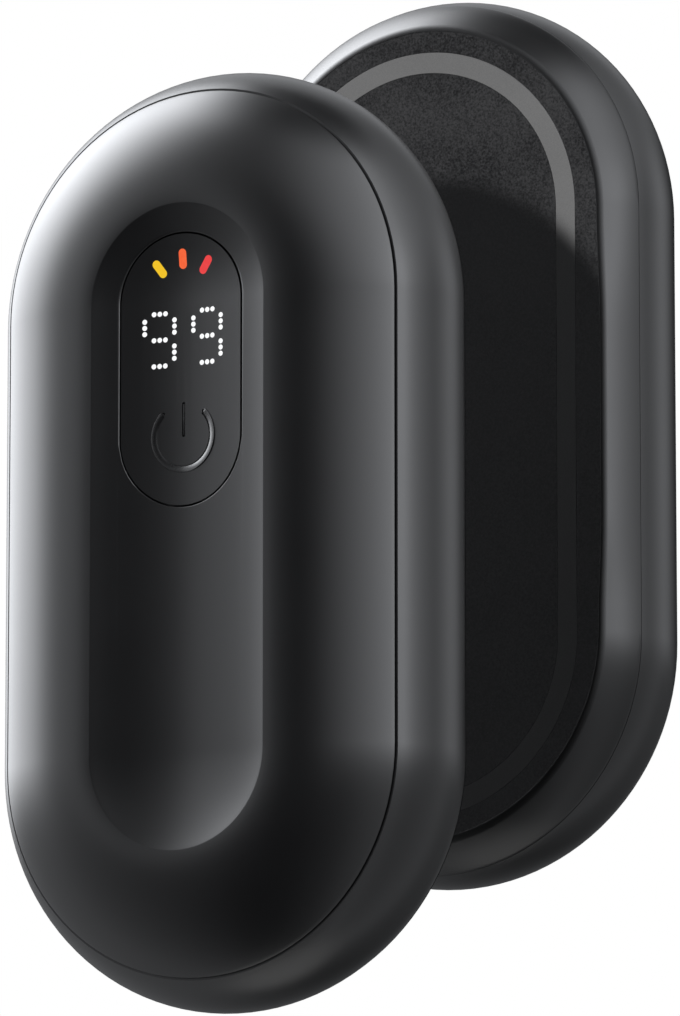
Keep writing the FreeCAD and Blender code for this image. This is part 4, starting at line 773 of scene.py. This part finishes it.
# The bar is turned a little about its upright axis, so that its face looks to the right, where the light is. The
# operator turns the other way, because there is no window.
BAR_MIDDLE = (0, -0.01832, 0.01115)
BAR_TURN = 0.12
bpy.ops.object.select_all(action="DESELECT")
bpy.ops.mesh.primitive_cube_add(size=1, location=BAR_MIDDLE, scale=(0.00034, 0.00036, 0.00328))
bpy.ops.object.transform_apply()
bar = bpy.context.object
bpy.ops.object.mode_set(mode="EDIT")
bpy.ops.mesh.select_all(action="SELECT")
bpy.ops.transform.rotate(value=-BAR_TURN, orient_axis="Z", center_override=(0, BAR_MIDDLE[1], 0))
bpy.ops.mesh.bevel(offset=0.00006, segments=3, affect="EDGES")
close_mesh()
shade_even(bar, angle=40)
front_symbol.select_set(True)
bpy.context.view_layer.objects.active = front_symbol
bpy.ops.object.join()

# Bare black ABS in a polished part of the mould: darker and glossier than the key round it.
symbol_abs = moulded("black ABS polished symbol", ("#080809", "#0b0b0c"), grain=0.2, depth=0.0006,
                     roughness=(0.26, 0.32),
                     settings={"Coat Weight": 1.0, "Coat Roughness": 0.18, "Coat IOR": 1.8})
stand_for(pair(front_symbol), "power_mark", symbol_abs, "button")


# ---- Switch plungers ----
# The small post between each key and its switch, moulded in acetal. It sits in the switch's bore, and the key
# pushes it down.

# Natural acetal: waxy off-white with a low gloss.
acetal = moulded("natural acetal moulded", ("#d3d0c7", "#e5e2da"), grain=0.35, depth=0.002, roughness=(0.32, 0.42),
                 settings={"Subsurface Weight": 0.15, "Subsurface Scale": 0.001})
dress("switch_plunger", acetal)


# ---- Digits and heat bars ----
# The light pipes in each key: a dot for every point of the two digits, and three bars for the heat levels. They
# are moulded in tinted polycarbonate, pressed into the key from behind and lit from below.

def light_pipe(name, colours, strength):
    """A light pipe that glows from within, a little cloudy, with a satin tip."""
    material, tree, shader, place = new_finish(name, {"IOR": 1.58, "Emission Strength": strength})
    cloud = add(tree, "ShaderNodeTexNoise", {"Scale": 2.5, "Detail": 2.0}, {"Vector": place})
    glow = add(tree, "ShaderNodeMix", {"data_type": "RGBA", 6: linear(colours[0]), 7: linear(colours[1])},
               {0: cloud.outputs["Fac"]})
    lay_pattern(tree, shader, cloud.outputs["Fac"], ("#161616", "#1f1f1f"), roughness=(0.42, 0.5),
                heights=[(cloud.outputs["Fac"], 0.01)])
    tree.links.new(glow.outputs[2], shader.inputs["Emission Color"])
    return material


# Polycarbonate with light in it: each pipe shows its colour almost evenly, a touch deeper in soft clouds.
dress("digit_dots", light_pipe("clear polycarbonate light pipe", ("#f4f6f8", "#ffffff"), strength=1.0))
dress("low_heat_bar", light_pipe("yellow polycarbonate light pipe", ("#efbd00", "#f8ca08"), strength=0.96))
dress("middle_heat_bar", light_pipe("orange polycarbonate light pipe", ("#f25420", "#fb6a30"), strength=0.96))
dress("high_heat_bar", light_pipe("red polycarbonate light pipe", ("#e6282a", "#f03c3c"), strength=0.96))


# ---- Screws ----
# Four screws in each half, cold headed and thread rolled in steel, then zinc plated. They are driven from the
# flat side through the tray into posts on the dome shell.

# Bright zinc plating: a bluish grey with a broken lustre, and the rolled thread as rings 0.7 mm apart.
zinc, tree, shader, place = new_finish("zinc-plated screw steel", {"Metallic": 1.0})
thread = add(tree, "ShaderNodeTexWave", {"bands_direction": "Y", "Scale": 0.449}, {"Vector": place})
bloom = add(tree, "ShaderNodeTexNoise", {"Scale": 1.2, "Detail": 4.0}, {"Vector": place})
lay_pattern(tree, shader, bloom.outputs["Fac"], ("#84898f", "#aab0b6"), roughness=(0.24, 0.44),
            heights=[(thread.outputs["Fac"], 0.12), (bloom.outputs["Fac"], 0.004)])
dress("screws", zinc)


# ---- Floor ----
# A pale sheet of matt paper far below the pair, which seems to float. It is round and thins out to nothing, so
# that no edge shows before the white backdrop.
bpy.ops.object.select_all(action="DESELECT")
bpy.ops.mesh.primitive_circle_add(vertices=128, radius=0.35, fill_type="NGON", location=(0, -0.03, -0.5))
floor = bpy.context.object
floor.name = "floor"
paper = bpy.data.materials.new("pale paper floor")
paper.use_nodes = True
tree = paper.node_tree
shader = tree.nodes["Principled BSDF"]
shader.inputs["Base Color"].default_value = linear("#dcdcdc")
shader.inputs["Roughness"].default_value = 0.9
where = add(tree, "ShaderNodeTexCoord")
reach = add(tree, "ShaderNodeVectorMath", {"operation": "LENGTH"}, {0: where.outputs["Object"]})
fade = add(tree, "ShaderNodeMapRange", {"From Min": 0.08, "From Max": 0.22, "interpolation_type": "SMOOTHSTEP"},
           {"Value": reach.outputs["Value"]})
air = add(tree, "ShaderNodeBsdfTransparent")
sheet = add(tree, "ShaderNodeMixShader", None, {0: fade.outputs["Result"], 1: shader.outputs[0], 2: air.outputs[0]})
tree.links.new(sheet.outputs[0], tree.nodes["Material Output"].inputs["Surface"])
floor.data.materials.append(paper)
floor.visible_diffuse = False


# ---- Studio ----
# Soft light from large diffusers at the left, at the right and above, with black cards between them, as a
# product photographer lights black plastic. Each ring gives the brightness round the object, in degrees from the
# front (-Y) towards +X. The backdrop is white where it is looked at and in glass, and in gloss straight behind.
BRIGHTEST = 7.0
STRAIGHT_BEHIND = (-0.4733, 0.8664, 0.1588)
BELOW = ((-180, 0.06), (-150, 0.1), (-120, 0.22), (-75, 0.34), (-45, 0.2), (-15, 0.02), (5, 0.02), (30, 0.1),
         (50, 0.3), (62, 0.4), (80, 0.25), (105, 0.3), (130, 0.35), (150, 0.15), (180, 0.06))
AROUND = ((-180, 0.02), (-165, 0.02), (-150, 0.03), (-141, 0.12), (-134, 0.7), (-126, 2.1), (-110, 3.1),
          (-82, 3.4), (-74, 2.8), (-68, 1.9), (-62, 1.2), (-55, 0.72), (-48, 0.72), (-40, 0.75), (-33, 0.7),
          (-29, 0.15), (-8, 0.0), (5, 0.12), (20, 0.6), (35, 1.2), (50, 1.85), (60, 2.9), (72, 3.8), (80, 1.9),
          (92, 1.15), (104, 0.75), (114, 0.5), (126, 0.7), (140, 0.9), (152, 0.6), (164, 0.2), (180, 0.02))
ABOVE = ((-180, 0.35), (-165, 0.45), (-150, 0.5), (-138, 0.6), (-128, 1.3), (-118, 3.2), (-105, 5.4), (-84, 5.3),
         (-72, 4.6), (-60, 3.2), (-45, 1.3), (-32, 0.1), (-15, 0.1), (0, 0.4), (30, 1.2), (48, 1.6), (62, 2.4),
         (80, 1.5), (100, 1.0), (125, 0.6), (150, 0.4), (165, 0.3), (180, 0.35))
world = bpy.data.worlds.new("studio")
bpy.context.scene.world = world
world.use_nodes = True
tree = world.node_tree
tree.nodes.clear()
where = add(tree, "ShaderNodeTexCoord")
axes = add(tree, "ShaderNodeSeparateXYZ", None, {0: where.outputs["Generated"]})
forward = add(tree, "ShaderNodeMath", {"operation": "MULTIPLY", 1: -1.0}, {0: axes.outputs["Y"]})
azimuth = add(tree, "ShaderNodeMath", {"operation": "ARCTAN2"}, {0: axes.outputs["X"], 1: forward.outputs["Value"]})
share = add(tree, "ShaderNodeMapRange", {"From Min": -math.pi, "From Max": math.pi},
            {"Value": azimuth.outputs["Value"]})


def ring_of_light(levels):
    """Brightness round the object from pairs of degrees and level."""
    ring = add(tree, "ShaderNodeValToRGB", None, {0: share.outputs["Result"]})
    stops = ring.color_ramp.elements
    stops.remove(stops[-1])
    for number, (angle, level) in enumerate(levels):
        stop = stops[0] if number == 0 else stops.new((angle + 180) / 360)
        stop.position = (angle + 180) / 360
        stop.color = (level / BRIGHTEST, level / BRIGHTEST, level / BRIGHTEST, 1)
    return ring.outputs["Color"]


rise = add(tree, "ShaderNodeMapRange", {"From Min": -0.03, "From Max": 0.19, "interpolation_type": "SMOOTHSTEP"},
           {"Value": axes.outputs["Z"]})
top = add(tree, "ShaderNodeMapRange", {"From Min": 0.25, "From Max": 0.60, "interpolation_type": "SMOOTHSTEP"},
          {"Value": axes.outputs["Z"]})
zenith = add(tree, "ShaderNodeMapRange", {"From Min": 0.86, "From Max": 0.96, "To Min": 1.0, "To Max": 0.04},
             {"Value": axes.outputs["Z"]})
light = add(tree, "ShaderNodeMix", {"data_type": "RGBA"},
            {0: rise.outputs["Result"], 6: ring_of_light(BELOW), 7: ring_of_light(AROUND)})
light = add(tree, "ShaderNodeMix", {"data_type": "RGBA"},
            {0: top.outputs["Result"], 6: light.outputs[2], 7: ring_of_light(ABOVE)})
level = add(tree, "ShaderNodeMath", {"operation": "MULTIPLY"}, {0: light.outputs[2], 1: zenith.outputs["Result"]})
strength = add(tree, "ShaderNodeMath", {"operation": "MULTIPLY", 1: BRIGHTEST}, {0: level.outputs["Value"]})
studio = add(tree, "ShaderNodeBackground", {"Color": (0.965, 0.985, 1.025, 1)},
             {"Strength": strength.outputs["Value"]})
white = add(tree, "ShaderNodeBackground", {"Strength": 1.0, "Color": (1, 1, 1, 1)})
path = add(tree, "ShaderNodeLightPath")
behind = add(tree, "ShaderNodeVectorMath", {"operation": "DOT_PRODUCT", 1: STRAIGHT_BEHIND},
             {0: where.outputs["Generated"]})
window = add(tree, "ShaderNodeMapRange", {"From Min": 0.99, "From Max": 0.997}, {"Value": behind.outputs["Value"]})
mirrored = add(tree, "ShaderNodeMath", {"operation": "MULTIPLY"},
               {0: path.outputs["Is Glossy Ray"], 1: window.outputs["Result"]})
seen = add(tree, "ShaderNodeMath", {"operation": "MAXIMUM"},
           {0: path.outputs["Is Camera Ray"], 1: path.outputs["Is Transmission Ray"]})
seen = add(tree, "ShaderNodeMath", {"operation": "MAXIMUM"}, {0: seen.outputs["Value"], 1: mirrored.outputs["Value"]})
backdrop = add(tree, "ShaderNodeMixShader", None, {0: seen.outputs["Value"], 1: studio.outputs[0],
                                                   2: white.outputs[0]})
add(tree, "ShaderNodeOutputWorld", None, {"Surface": backdrop.outputs[0]})

# The diffusers show in gloss alone. All matt light comes from the lamps, which keeps the shadows deep.
world.cycles_visibility.diffuse = False
bpy.context.scene.view_settings.view_transform = "Standard"


PAIR_MIDDLE = Vector((0, -0.037, -0.009))


def lamp(name, azimuth, elevation, distance, side, radiance):
    """A square soft box that looks at the pair from a direction in degrees. Gloss doesn't show its outline."""
    a, e = math.radians(azimuth), math.radians(elevation)
    out = Vector((math.sin(a) * math.cos(e), -math.cos(a) * math.cos(e), math.sin(e)))
    data = bpy.data.lights.new(name, "AREA")
    data.shape = "SQUARE"
    data.size = side
    data.energy = radiance * math.pi * side * side
    box = bpy.data.objects.new(name, data)
    bpy.context.scene.collection.objects.link(box)
    box.location = PAIR_MIDDLE + out * distance
    box.rotation_euler = out.to_track_quat("Z", "Y").to_euler()
    box.visible_glossy = False


# The key light throws the front half's shadow on the rear panel. The back light is for the sides it can't reach.
lamp("key_light", azimuth=1, elevation=6.7, distance=1.3, side=0.07, radiance=1000)
lamp("back_light", azimuth=-151, elevation=58, distance=1.3, side=0.5, radiance=22)


# ---- Camera ----
# The photograph's view, fitted to the outlines and seams of both halves: a long lens, from 28.6 degrees to the
# right and 9.1 degrees below. TARGET and SHIFT are in millimetres, SHIFT across, up and back from the target, and
# FOCAL is in pixels of the photograph.
FOCAL = 7500
PHOTO_HEIGHT = 1016
SENSOR = 36
YAW = 0.4999546
PITCH = -0.1594671
TARGET = Vector((0, -67.4, -17.6))
SHIFT = (-14.53129, 2.335757, 776.47115)
camera = bpy.data.objects.new("camera", bpy.data.cameras.new("camera"))
bpy.context.scene.collection.objects.link(camera)
bpy.context.scene.camera = camera
camera.data.sensor_width = SENSOR
camera.data.lens = FOCAL * SENSOR / PHOTO_HEIGHT
camera.data.clip_start, camera.data.clip_end = 0.05, 20
back = Vector((math.sin(YAW) * math.cos(PITCH), -math.cos(YAW) * math.cos(PITCH), math.sin(PITCH)))
right = Vector((math.cos(YAW), math.sin(YAW), 0))
up = back.cross(right)
spot = (-right * SHIFT[0] + up * SHIFT[1] + back * SHIFT[2] + TARGET) / 1000
camera.matrix_world = Matrix(((right.x, up.x, back.x, spot.x), (right.y, up.y, back.y, spot.y),
                              (right.z, up.z, back.z, spot.z), (0, 0, 0, 1)))
